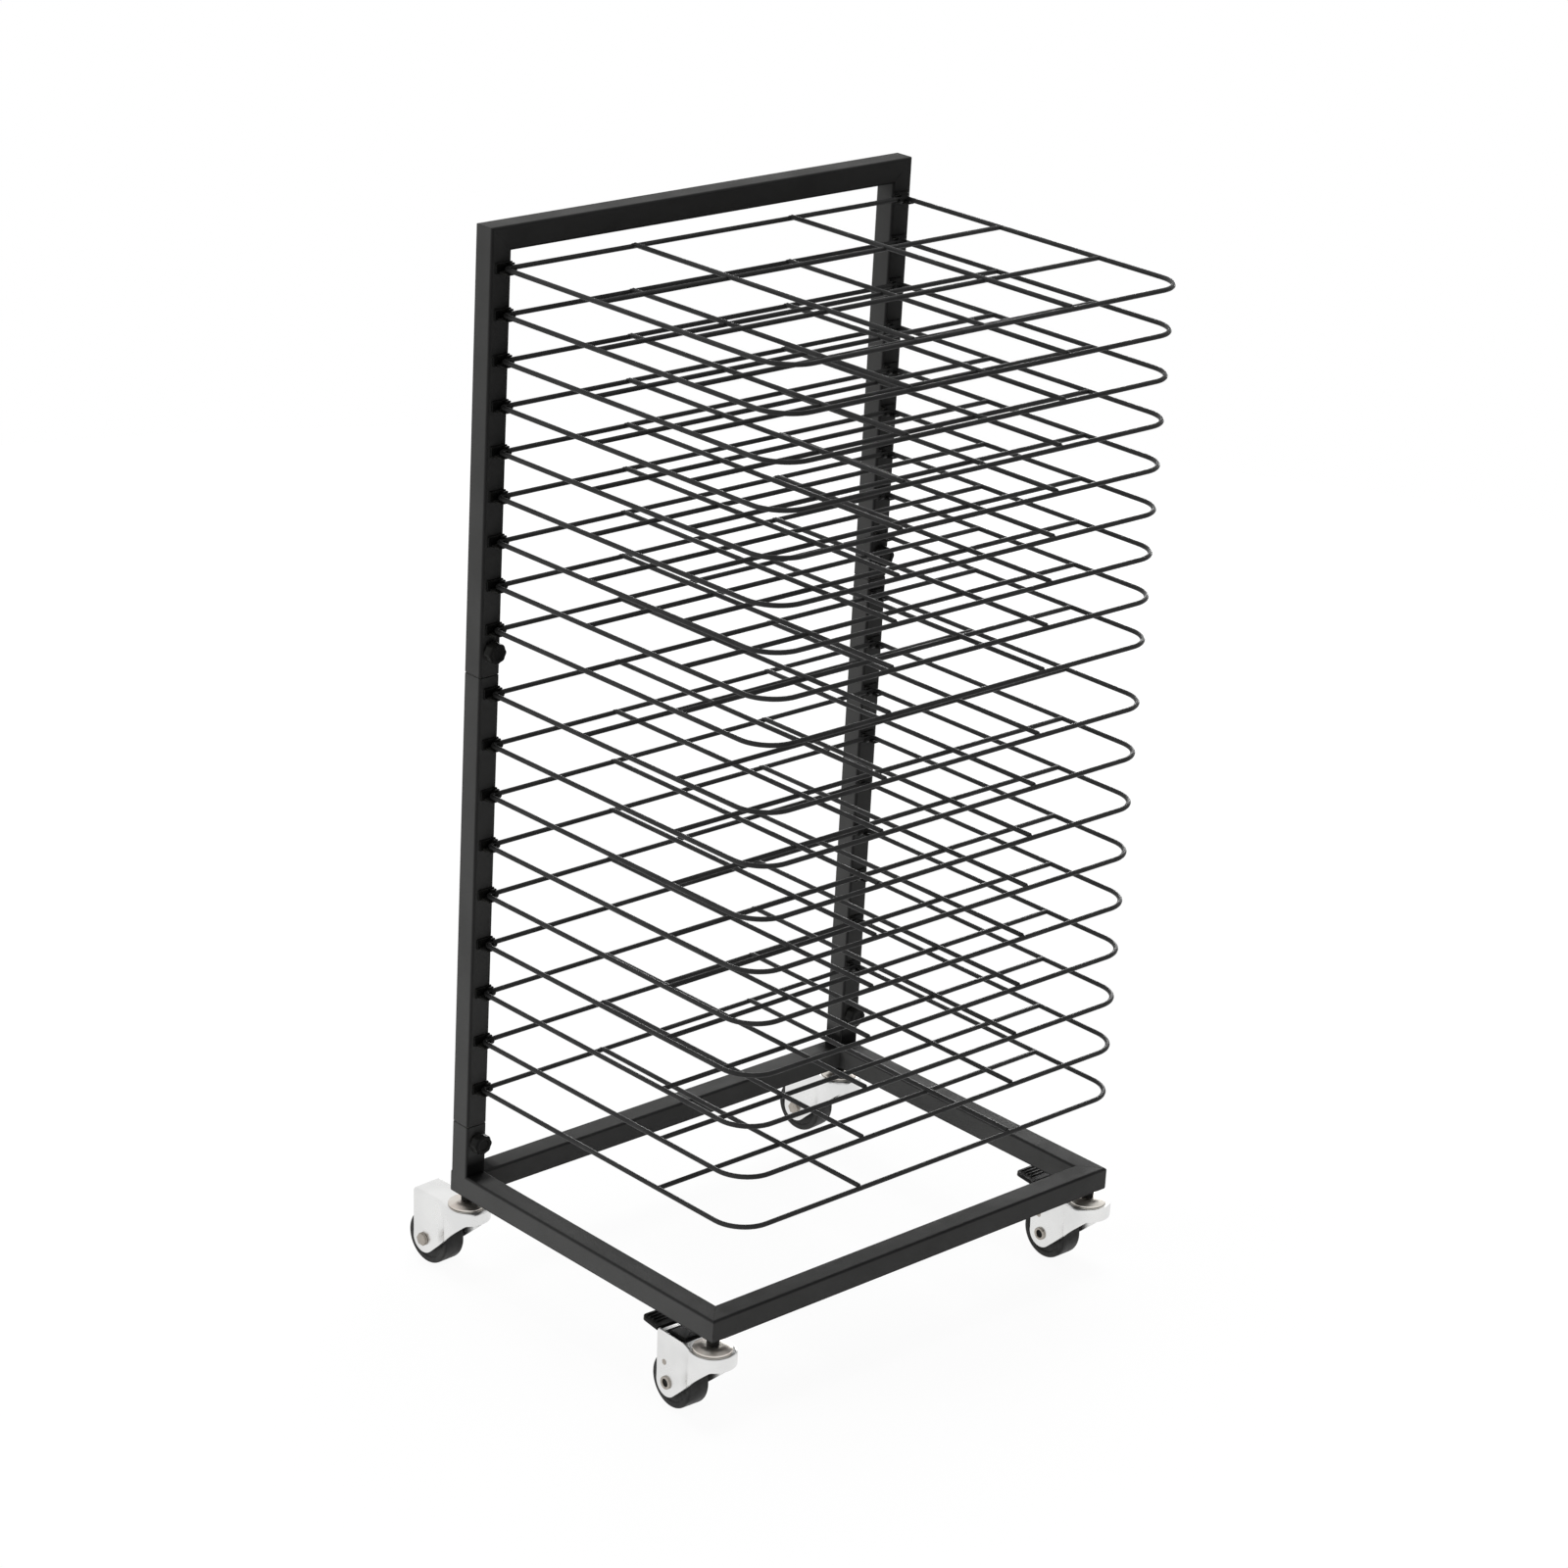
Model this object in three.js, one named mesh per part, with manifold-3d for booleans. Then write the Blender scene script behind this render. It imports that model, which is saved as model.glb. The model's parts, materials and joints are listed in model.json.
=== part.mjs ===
// Art drying rack: a wheeled base, a back frame of square tube that plugs together at two seams,
// and two groups of hinged wire shelves that reach forward from the frame.
// Millimetres, +Z up. The origin is on the floor below the centre of the base frame.
// +X runs from the left post to the right post, and -Y is the free front edge of the shelves.

import * as THREE from 'three';
import { mergeVertices } from 'three/addons/utils/BufferGeometryUtils.js';
import Module from 'manifold-3d';

// Driving dimensions: tube frame
const rackWidth = 554; // over the outer faces of the two posts
const baseDepth = 409; // over the front and rear rails of the base
const tubeSize = 25; // square tube, over flats
const tubeWall = 1.2;
const socketHeight = 56; // post sockets welded on the rear corners of the base
const weldGap = 0.2; // between tubes that are welded together
const seamGap = 0.3; // between posts that plug together
const seatGap = 0.3; // between pieces that rest on each other

// Driving dimensions: shelves
const lowerShelfCount = 9;
const lowerShelfPitch = 54;
const upperShelfCount = 9;
const plainShelfCount = 8; // lowest shelves, which have no rear cross wire
const upperShelfPitch = 45.6;
const lowestShelfRise = 43; // lowest shelf above the socket seam
const midSeamRise = 17; // middle seam above the lower group of shelves
const upperShelfRise = 50; // upper group of shelves above the middle seam
const topRise = 40; // top of the frame above the highest shelf
const wireDiameter = 5;
const wireSides = 6;
const shelfDepth = 395; // rear wire to front wire, centre to centre
const frontCornerRadius = 35;
const frontCornerSteps = 4;
const rearCornerRadius = 6;
const rearCornerSteps = 2;
const rearCrossWire = 138; // cross wires, measured forward from the rear wire
const frontCrossWire = 275.5;
const longWireSpacing = 207.5; // between the two front-to-back wires
const weldDepth = 2; // how far two crossing wires melt into each other

// Driving dimensions: shelf clips on the posts
const clipWidth = 20;
const clipHeight = 11;
const clipPadThickness = 2.2;
const padClearance = 0.6; // pad to the rear wire in front of it
const clipWall = 2.2;
const clipClearance = 0.3;
const hookWidth = 5.5;
const hookMouthStart = 105; // degrees from the rear, up and over, between which the wire snaps in
const hookMouthEnd = 165; // degrees
const hookSteps = 6;
const ledgeWidth = 9;
const ledgeReach = 9; // in front of the rear wire
const ledgeTipThickness = 2;

// Driving dimensions: plug sleeves and clamping knobs
const sleeveClearance = 0.3; // to the inside of a post
const sleeveWall = 1.5;
const footSleeveReach = 45; // into the lower post
const midSleeveReach = 50; // into each post
const knobDiameter = 22;
const knobThickness = 10;
const knobBossDiameter = 13;
const knobBossThickness = 2;
const knobChamfer = 1.5;
const knobScrewDiameter = 6;
const knobScrewReach = 6; // past the inside of the sleeve
const screwClearance = 0.4;
const midKnobRise = 27; // above the middle seam
const footKnobDrop = 18; // below the socket seam

// Driving dimensions: casters
const wheelDiameter = 58;
const wheelWidth = 26;
const wheelRimDepth = 5; // tread ring, measured in from the tread
const wheelDish = 2; // hollow of the wheel's sides
const wheelChamfer = 1.5;
const wheelHubDiameter = 22;
const wheelHubStep = 0.5; // hub proud of the tread, on each side
const wheelSides = 20;
const wheelTopGap = 22; // top of a wheel to the roof of its fork
const casterTrail = 46; // swivel axis to axle
const shankDiameter = 8;
const shankReach = 14; // above the underside of the base
const collarDiameter = 13;
const collarHeight = 8.1;
const stemHeadDiameter = 14;
const stemHeadHeight = 3;
const ringDiameter = 40;
const ringHeight = 5;
const ringRimHeight = 1.6; // at the edge of its dome
const ringCrownDiameter = 24; // flat top of its dome
const ringSides = 24;
const forkSheet = 2;
const forkNoseRadius = 25;
const forkNoseSpread = 60; // degrees either side of the trailing direction
const forkNoseDepth = 14;
const forkNoseReach = 18; // ahead of the swivel axis, where the lower edge levels out
const forkTaper = 24; // behind the swivel axis, where the nose has narrowed to the cheeks
const forkTail = 17; // cheeks behind the axle
const forkTipRadius = 15.5; // round the axle
const forkTipStart = 8; // degrees of the arc round the axle
const forkTipEnd = -130; // degrees
const forkTipSteps = 6;
const forkSideGap = 3; // wheel hub to the inside of a cheek
const axleDiameter = 8;
const axleHeadDiameter = 14;
const axleHeadHeight = 4;
const runningClearance = 0.3;
const roundSides = 12;
const frontLeftSwivel = 88; // degrees from +X, the way each fork trails
const frontRightSwivel = 90; // degrees
const rearLeftSwivel = 93; // degrees
const rearRightSwivel = 95; // degrees

// Driving dimensions: brake pedals on the front casters
const pedalWidth = 24; // between the cheeks
const pedalThickness = 6.5; // lever above its pin
const pedalTabWidth = 34;
const pedalTabThickness = 4;
const pedalTabLength = 25;
const pedalTabRise = 2.5; // tip of the tab above the fork
const pedalTabGap = 2; // behind the cheeks
const pedalLugRise = 2.2; // front lug above the fork
const pedalLugGap = 3; // front lug to the window that it rises through
const pedalSwing = 5; // room behind the front lug
const pedalPinDiameter = 4;
const pedalPinInset = 7; // ahead of the trailing edge of the cheeks
const pedalPinDrop = 10.7; // below the top of the fork
const pedalShoeReach = 5; // brake shoe behind the pin
const brakeGap = 3; // released brake shoe to the wheel
const windowStart = 24; // behind the swivel axis
const bridgeWidth = 5; // strip across the fork behind the window
const bridgeInset = 3; // ahead of the trailing edge of the cheeks

// Levels above the underside of the base
const socketSeam = tubeSize + socketHeight;
const lowestShelf = socketSeam + lowestShelfRise;
const midSeam = lowestShelf + (lowerShelfCount - 1) * lowerShelfPitch + midSeamRise;
const upperShelfFoot = midSeam + upperShelfRise;
const frameTop = upperShelfFoot + (upperShelfCount - 1) * upperShelfPitch + topRise;
const lowerShelfLevels = levels(lowestShelf, lowerShelfPitch, lowerShelfCount);
const upperShelfLevels = levels(upperShelfFoot, upperShelfPitch, upperShelfCount);

// Places that several pieces share
const tubeHalf = tubeSize / 2;
const mitreGap = weldGap / 2;
const postX = rackWidth / 2 - tubeHalf;
const postY = baseDepth / 2 - tubeHalf;
const wireRadius = wireDiameter / 2;
const wireStandoff = wireRadius + padClearance + clipPadThickness; // post face to a rear wire's centre
const shelfY = postY - tubeHalf - wireStandoff;
const collarFoot = -seatGap - collarHeight;
const ringFoot = collarFoot - seatGap - ringHeight;
const forkTop = ringFoot - seatGap;
const forkRoof = forkTop - forkSheet;
const axleZ = forkRoof - wheelTopGap - wheelDiameter / 2;
const casterHeight = wheelDiameter / 2 - axleZ;
const forkLength = casterTrail + forkTail;
const cheekInside = wheelWidth / 2 + wheelHubStep + forkSideGap;
const cheekOutside = cheekInside + forkSheet;
const bridgeEnd = forkLength - bridgeInset;
const bridgeStart = bridgeEnd - bridgeWidth;
const cutMargin = 5; // how far a cutting shape runs past what it cuts

// Turns a bar that was drawn along Z to lie along X, with its own X across and its own Y up
const alongX = new THREE.Matrix4().makeBasis(
  new THREE.Vector3(0, 1, 0), new THREE.Vector3(0, 0, 1), new THREE.Vector3(1, 0, 0));

const finishes = {
  powderCoat: { color: 0x1c1c1d, roughness: 0.5, metalness: 0.2 },
  coatedWire: { color: 0x191919, roughness: 0.45, metalness: 0.3 },
  zincSteel: { color: 0x9a9a98, roughness: 0.4, metalness: 0.9 },
  blackPlastic: { color: 0x121212, roughness: 0.45, metalness: 0.0 },
  chrome: { color: 0xd9dadb, roughness: 0.12, metalness: 1.0 },
  brass: { color: 0xa88a5c, roughness: 0.35, metalness: 0.9 },
  wheelRubber: { color: 0x1a1a1a, roughness: 0.6, metalness: 0.0 },
};

const mergeTolerance = 1e-4; // vertices closer than this are one

const wasm = await Module();
wasm.setup();

function levels(first, pitch, count) {
  return Array.from({ length: count }, (_, i) => first + i * pitch);
}

function piece(name, geometry, finish) {
  const mesh = new THREE.Mesh(geometry, new THREE.MeshStandardMaterial(finishes[finish]));
  mesh.name = name;
  return mesh;
}

// A closed geometry as a solid that can be joined and cut
function toSolid(geometry) {
  const bare = geometry.clone();
  bare.deleteAttribute('normal');
  bare.deleteAttribute('uv');
  const merged = mergeVertices(bare, mergeTolerance);
  const corners = merged.getIndex().array;
  const kept = [];
  for (let i = 0; i < corners.length; i += 3) {
    const [a, b, c] = corners.slice(i, i + 3);
    if (a !== b && b !== c && c !== a) kept.push(a, b, c);
  }
  return new wasm.Manifold(new wasm.Mesh({
    numProp: 3,
    vertProperties: merged.getAttribute('position').array,
    triVerts: new Uint32Array(kept),
  }));
}

function toGeometry(solid) {
  const mesh = solid.getMesh();
  const geometry = new THREE.BufferGeometry();
  geometry.setAttribute('position', new THREE.BufferAttribute(mesh.vertProperties, 3));
  geometry.setIndex(new THREE.BufferAttribute(mesh.triVerts, 1));
  geometry.computeVertexNormals();
  return geometry;
}

function join(geometries) {
  return geometries.map(toSolid).reduce((whole, next) => whole.add(next));
}

function cut(solid, geometries) {
  return geometries.map(toSolid).reduce((whole, next) => whole.subtract(next), solid);
}

function vectors(points) {
  return points.map(([x, y]) => new THREE.Vector2(x, y));
}

function arc(centreX, centreY, radius, fromDegrees, toDegrees, steps) {
  return Array.from({ length: steps + 1 }, (_, i) => {
    const angle = THREE.MathUtils.degToRad(fromDegrees + (toDegrees - fromDegrees) * i / steps);
    return [centreX + radius * Math.cos(angle), centreY + radius * Math.sin(angle)];
  });
}

function extrude(shape, depth) {
  return new THREE.ExtrudeGeometry(shape, { depth, bevelEnabled: false, steps: 1 });
}

// An outline of (y, z) points carried along X
function extrudeAlongX(points, fromX, toX) {
  const bar = extrude(new THREE.Shape(vectors(points)), toX - fromX);
  return bar.applyMatrix4(alongX).translate(fromX, 0, 0);
}

// An outline of (x, z) points carried along Y, centred on the XZ plane
function extrudeAlongY(points, width) {
  const bar = extrude(new THREE.Shape(vectors(points)), width);
  return bar.rotateX(Math.PI / 2).translate(0, width / 2, 0);
}

// An outline of (x, y) points carried up from one level to another
function extrudeUp(points, fromZ, toZ) {
  return extrude(new THREE.Shape(vectors(points)), toZ - fromZ).translate(0, 0, fromZ);
}

function barAlongY(diameter, length, sides) {
  return new THREE.CylinderGeometry(diameter / 2, diameter / 2, length, sides);
}

function barAlongZ(diameter, length, sides) {
  return barAlongY(diameter, length, sides).rotateX(Math.PI / 2);
}

// A profile of (radius, y) points turned about Y
function turnedAboutY(points, sides, firstAngle = 0) {
  return new THREE.LatheGeometry(vectors(points), sides, firstAngle);
}

// A profile of (radius, z) points turned about Z
function turnedAboutZ(points, sides) {
  return turnedAboutY(points, sides).rotateX(Math.PI / 2);
}

// Square tube along Z from 0 to length, open at both ends.
// A lean of 1 or -1 mitres that end, so that it rises or falls along X.
function squareTube(size, wall, length, startLean = 0, endLean = 0) {
  const square = (side) => arc(0, 0, side * Math.SQRT1_2, 45, 315, 3);
  const section = new THREE.Shape(vectors(square(size)));
  section.holes.push(new THREE.Path(vectors(square(size - 2 * wall))));
  const tube = extrude(section, length);
  const position = tube.getAttribute('position');
  for (let i = 0; i < position.count; i += 1) {
    const lean = position.getZ(i) < length / 2 ? startLean : endLean;
    position.setZ(i, position.getZ(i) + lean * position.getX(i));
  }
  return tube;
}

// Round wire along a closed, flat, counterclockwise path
function wireLoop(points, radius, sides) {
  const count = points.length;
  const vertices = [];
  const triangles = [];
  points.forEach((point, i) => {
    const ahead = points[(i + 1) % count].clone().sub(point).normalize();
    const behind = point.clone().sub(points[(i + count - 1) % count]).normalize();
    const along = ahead.add(behind).normalize();
    const ring = i * sides;
    const nextRing = ((i + 1) % count) * sides;
    for (let k = 0; k < sides; k += 1) {
      const angle = 2 * Math.PI * k / sides;
      const outward = radius * Math.cos(angle);
      const next = (k + 1) % sides;
      vertices.push(point.x + along.y * outward, point.y - along.x * outward, radius * Math.sin(angle));
      triangles.push(ring + k, nextRing + k, nextRing + next, ring + k, nextRing + next, ring + next);
    }
  });
  const loop = new THREE.BufferGeometry();
  loop.setAttribute('position', new THREE.Float32BufferAttribute(vertices, 3));
  loop.setIndex(triangles);
  return loop;
}

// One shelf: a rim, cross wires in its plane and two front-to-back wires welded on top.
// The rear wire, which is the hinge line, runs along X through the origin.
function shelfGeometry(crossDistances) {
  const rearX = postX - rearCornerRadius;
  const frontX = postX - frontCornerRadius;
  const frontY = frontCornerRadius - shelfDepth;
  const path = [
    ...arc(-rearX, -rearCornerRadius, rearCornerRadius, 90, 180, rearCornerSteps),
    ...arc(-frontX, frontY, frontCornerRadius, 180, 270, frontCornerSteps),
    ...arc(frontX, frontY, frontCornerRadius, 270, 360, frontCornerSteps),
    ...arc(rearX, -rearCornerRadius, rearCornerRadius, 0, 90, rearCornerSteps),
  ];
  const rim = wireLoop(vectors(path), wireRadius, wireSides);
  const wire = (length) => barAlongY(wireDiameter, length, wireSides).rotateY(Math.PI / wireSides);
  const crossWires = crossDistances.map((distance) =>
    wire(2 * postX - weldDepth).rotateZ(Math.PI / 2).translate(0, -distance, 0));
  const longWires = [-longWireSpacing / 2, longWireSpacing / 2].map((x) =>
    wire(shelfDepth + weldDepth).translate(x, -shelfDepth / 2, wireDiameter - weldDepth));
  return toGeometry(join([rim, ...crossWires, ...longWires]));
}

function shelves() {
  const group = new THREE.Group();
  const plain = shelfGeometry([frontCrossWire]);
  const full = shelfGeometry([rearCrossWire, frontCrossWire]);
  [...lowerShelfLevels, ...upperShelfLevels].forEach((level, i) => {
    const geometry = i < plainShelfCount ? plain : full;
    const shelf = piece(`shelf_${String(i + 1).padStart(2, '0')}`, geometry, 'coatedWire');
    shelf.position.set(0, shelfY, level);
    group.add(shelf);
  });
  return group;
}

// The clip that holds one rear corner of a shelf: a pad on the post, a snap hook round the rear wire
// and a ledge below the side wire. The rear wire runs along X through the origin, and inward is 1 or -1.
function clipGeometries(inward) {
  const root = wireStandoff + tubeWall / 2;
  const padFront = wireStandoff - clipPadThickness;
  const bore = wireRadius + clipClearance;
  const span = (from, to) => (inward > 0 ? [from, to] : [-to, -from]);
  const pad = [[root, -clipHeight / 2], [root, clipHeight / 2],
    [padFront, clipHeight / 2], [padFront, -clipHeight / 2]];
  const ledge = [[root, -clipHeight / 2], [root, -bore], [-ledgeReach, -bore],
    [-ledgeReach, -bore - ledgeTipThickness]];
  const [from, to] = [hookMouthEnd, hookMouthStart + 360];
  const facet = Math.cos(THREE.MathUtils.degToRad((to - from) / hookSteps / 2));
  const outer = arc(0, 0, bore + clipWall, from, to, hookSteps);
  const hook = [...outer, ...arc(0, 0, bore / facet, to, from, hookSteps)];
  const hookStart = rearCornerRadius + clipClearance;
  const padEnd = tubeHalf - clipClearance;
  return [
    extrudeAlongX(pad, ...span(padEnd - clipWidth, padEnd)),
    extrudeAlongX(hook, ...span(hookStart, hookStart + hookWidth)),
    extrudeAlongX(ledge, ...span(-ledgeWidth / 2, ledgeWidth / 2)),
  ];
}

// A hole through the front wall of a post, centred on its own axis
function screwHole(z) {
  const diameter = knobScrewDiameter + 2 * screwClearance;
  return barAlongY(diameter, tubeSize, roundSides).translate(0, -tubeHalf, z);
}

// A post along Z from its foot, with the clips of the shelves that it carries
function post(name, side, foot, top, shelfLevels, mitred, knobLevels) {
  const tube = squareTube(tubeSize, tubeWall, top - foot, 0, mitred ? side : 0);
  const clips = shelfLevels.flatMap((level) => clipGeometries(-side)
    .map((clip) => clip.translate(0, shelfY - postY, level - foot)));
  const solid = cut(join([tube, ...clips]), knobLevels.map((level) => screwHole(level - foot)));
  const mesh = piece(name, toGeometry(solid), 'powderCoat');
  mesh.position.set(side * postX, postY, foot);
  return mesh;
}

// A square sleeve that slides inside two posts, with a hole for the clamping screw
function sleeve(name, side, foot, top, knobLevel) {
  const size = tubeSize - 2 * tubeWall - 2 * sleeveClearance;
  const solid = cut(toSolid(squareTube(size, sleeveWall, top - foot)), [screwHole(knobLevel - foot)]);
  const mesh = piece(name, toGeometry(solid), 'zincSteel');
  mesh.position.set(side * postX, postY, foot);
  return mesh;
}

// A clamping knob with its screw, on the front face of a post
function knob(name, side, level) {
  const screwEnd = tubeWall + sleeveClearance + sleeveWall + knobScrewReach;
  const bossFoot = -seatGap - knobBossThickness;
  const front = bossFoot - knobThickness;
  const [screw, boss, rim] = [knobScrewDiameter, knobBossDiameter, knobDiameter].map((d) => d / 2);
  const profile = [[0, front], [rim - knobChamfer, front], [rim, front + knobChamfer],
    [rim, bossFoot - knobChamfer], [rim - knobChamfer, bossFoot], [boss, bossFoot], [boss, -seatGap],
    [screw, -seatGap], [screw, screwEnd], [0, screwEnd]];
  const mesh = piece(name, turnedAboutY(profile, roundSides), 'blackPlastic');
  mesh.position.set(side * postX, postY - tubeHalf, level);
  return mesh;
}

function backFrame() {
  const group = new THREE.Group();
  const midKnob = midSeam + midKnobRise;
  const footKnob = socketSeam - footKnobDrop;
  const socketFoot = tubeSize + weldGap;
  const lowerFoot = socketSeam + seamGap;
  const upperFoot = midSeam + seamGap;
  const mitreTop = frameTop - tubeHalf - mitreGap;
  for (const [name, side] of [['left', -1], ['right', 1]]) {
    group.add(
      post(`${name}_post_socket`, side, socketFoot, socketSeam, [], false, [footKnob]),
      post(`${name}_lower_post`, side, lowerFoot, midSeam, lowerShelfLevels, false, []),
      post(`${name}_upper_post`, side, upperFoot, mitreTop, upperShelfLevels, true, [midKnob]),
      sleeve(`${name}_foot_sleeve`, side, tubeSize + seatGap, socketSeam + footSleeveReach, footKnob),
      sleeve(`${name}_mid_sleeve`, side, midSeam - midSleeveReach, midSeam + midSleeveReach, midKnob),
      knob(`${name}_foot_knob`, side, footKnob),
      knob(`${name}_mid_knob`, side, midKnob));
  }
  const railLength = 2 * (postX - mitreGap);
  const rail = squareTube(tubeSize, tubeWall, railLength, 1, -1).rotateY(Math.PI / 2);
  group.add(piece('top_rail', rail.translate(-railLength / 2, postY, frameTop - tubeHalf), 'powderCoat'));
  return group;
}

// The base rectangle, mitred at its corners, with a hole in each corner for a caster stem
function baseFrame() {
  const group = new THREE.Group();
  const holeDiameter = shankDiameter + 2 * runningClearance;
  const holes = [[-1, -1], [1, -1], [-1, 1], [1, 1]].map(([x, y]) =>
    barAlongZ(holeDiameter, tubeSize, roundSides).translate(x * postX, y * postY, 0));
  const add = (name, rail, x, y) => {
    const solid = cut(toSolid(rail.translate(x, y, tubeHalf)), holes);
    group.add(piece(name, toGeometry(solid), 'powderCoat'));
  };
  const crossLength = 2 * (postX - mitreGap);
  const sideLength = 2 * (postY - mitreGap);
  for (const side of [-1, 1]) {
    const crossRail = squareTube(tubeSize, tubeWall, crossLength, -side, side).applyMatrix4(alongX);
    const sideRail = squareTube(tubeSize, tubeWall, sideLength, -side, side).rotateX(-Math.PI / 2);
    add(side < 0 ? 'base_front_rail' : 'base_rear_rail', crossRail, -crossLength / 2, side * postY);
    add(side < 0 ? 'base_left_rail' : 'base_right_rail', sideRail, side * postX, -sideLength / 2);
  }
  return group;
}

// The caster pieces share one local frame: the swivel axis is Z, the fork trails along +X,
// the axle is parallel to Y, and the underside of the base is at z = 0.

// The stem: a shank in the base, a collar below it and a head that holds the fork up
function stemGeometry() {
  const headTop = forkRoof - seatGap;
  const [shank, collar, head] = [shankDiameter, collarDiameter, stemHeadDiameter].map((d) => d / 2);
  const headFoot = headTop - stemHeadHeight;
  const profile = [[0, headFoot], [head, headFoot], [head, headTop], [shank, headTop],
    [shank, collarFoot], [collar, collarFoot], [collar, -seatGap], [shank, -seatGap],
    [shank, shankReach], [0, shankReach]];
  return turnedAboutZ(profile, roundSides);
}

// The domed bearing ring between the collar and the fork
function ringGeometry() {
  const inside = shankDiameter / 2 + runningClearance;
  const outside = ringDiameter / 2;
  const top = ringFoot + ringHeight;
  const profile = [[inside, ringFoot], [outside, ringFoot], [outside, ringFoot + ringRimHeight],
    [ringCrownDiameter / 2, top], [inside, top], [inside, ringFoot]];
  return turnedAboutZ(profile, ringSides);
}

// Plan outline of the fork: a round nose about the swivel axis that narrows to two straight cheeks
function forkPlan(noseRadius, cheek, end) {
  const nose = arc(0, 0, noseRadius, forkNoseSpread, 360 - forkNoseSpread, roundSides);
  return [[end, -cheek], [end, cheek], [forkTaper, cheek], ...nose, [forkTaper, -cheek]];
}

// The fork: bent sheet, open below and behind, with its lower edge falling from the nose to the axle
function forkGeometry(braked) {
  const floor = axleZ - forkTipRadius - cutMargin;
  const noseFoot = forkTop - forkNoseDepth;
  const noseEnd = -forkNoseRadius - cutMargin;
  const sideView = [[noseEnd, forkTop + cutMargin], [forkLength, forkTop + cutMargin],
    [forkLength, forkTop],
    ...arc(casterTrail, axleZ, forkTipRadius, forkTipStart, forkTipEnd, forkTipSteps),
    [-forkNoseReach, noseFoot], [noseEnd, noseFoot]];
  const shell = toSolid(extrudeUp(forkPlan(forkNoseRadius, cheekOutside, forkLength), floor, forkTop))
    .intersect(toSolid(extrudeAlongY(sideView, 2 * forkNoseRadius + cutMargin)));
  const inside = forkPlan(forkNoseRadius - forkSheet, cheekInside, forkLength + cutMargin);
  const width = 2 * cheekOutside + cutMargin;
  const holes = [
    extrudeUp(inside, floor - cutMargin, forkRoof),
    barAlongZ(shankDiameter + 2 * runningClearance, cutMargin, roundSides).translate(0, 0, forkRoof),
    barAlongY(axleDiameter + 2 * runningClearance, width, roundSides).translate(casterTrail, 0, axleZ),
  ];
  if (braked) {
    const opening = (from, to) => extrudeUp([[from, -cheekInside], [to, -cheekInside], [to, cheekInside],
      [from, cheekInside]], forkRoof - cutMargin, forkTop + cutMargin);
    holes.push(opening(windowStart, bridgeStart), opening(bridgeEnd, forkLength + cutMargin));
    holes.push(barAlongY(pedalPinDiameter + 2 * runningClearance, width, roundSides)
      .translate(forkLength - pedalPinInset, 0, forkTop - pedalPinDrop));
  }
  return toGeometry(cut(shell, holes));
}

// The wheel: a solid tread ring, dished sides and a bored hub, with a flat of the tread at the bottom
function wheelGeometry() {
  const tread = wheelDiameter / 2;
  const bore = axleDiameter / 2 + runningClearance;
  const [hub, rim] = [wheelHubDiameter / 2, tread - wheelRimDepth];
  const edge = wheelWidth / 2;
  const hubEdge = edge + wheelHubStep;
  const dish = edge - wheelDish;
  const side = [[bore, hubEdge], [hub, hubEdge], [hub, dish], [rim - wheelDish, dish], [rim, edge],
    [tread - wheelChamfer, edge], [tread, edge - wheelChamfer]];
  const profile = [...side.map(([r, y]) => [r, -y]), ...side.reverse(), [bore, -hubEdge]];
  const grow = 1 / Math.cos(Math.PI / wheelSides);
  return turnedAboutY(profile, wheelSides, Math.PI / wheelSides).scale(grow, 1, grow);
}

function axleGeometry() {
  const seat = cheekOutside + seatGap;
  const end = seat + axleHeadHeight;
  const [shaft, head] = [axleDiameter / 2, axleHeadDiameter / 2];
  const profile = [[0, -end], [head, -end], [head, -seat], [shaft, -seat], [shaft, seat], [head, seat],
    [head, end], [0, end]];
  return turnedAboutY(profile, roundSides);
}

// The brake pedal: a lever on a pin between the cheeks, with a tab behind, a lug that rises through
// the window in the fork, and a shoe that swings down to the wheel
function pedalGeometry() {
  const pinX = forkLength - pedalPinInset;
  const pinZ = forkTop - pedalPinDrop;
  const back = pinZ + pedalThickness;
  const lugFront = windowStart + pedalLugGap;
  const lugBack = bridgeStart - pedalSwing;
  const lugTop = forkTop + pedalLugRise;
  const tabStart = forkLength + pedalTabGap;
  const tabEnd = tabStart + pedalTabLength;
  const shoeX = pinX + pedalShoeReach;
  const shoeZ = axleZ + Math.sqrt((wheelDiameter / 2 + brakeGap) ** 2 - (shoeX - casterTrail) ** 2);
  const heel = tabStart + pedalTabThickness;
  const lever = [[lugFront, lugTop], [lugBack, lugTop], [lugBack + pedalLugGap, back], [forkLength, back],
    [tabStart, forkTop], [heel, forkTop], [heel, back], [shoeX, shoeZ],
    [pinX, pinZ - pedalPinDiameter], [lugFront, pinZ]];
  const tabTop = forkTop + pedalTabRise;
  const tab = [[tabStart, forkTop - pedalTabThickness], [tabStart, forkTop], [tabEnd, tabTop],
    [tabEnd, tabTop - pedalTabThickness]];
  const pinLength = 2 * cheekOutside + seatGap;
  const pin = barAlongY(pedalPinDiameter, pinLength, roundSides).translate(pinX, 0, pinZ);
  return toGeometry(join([extrudeAlongY(lever, pedalWidth), extrudeAlongY(tab, pedalTabWidth), pin]));
}

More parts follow.
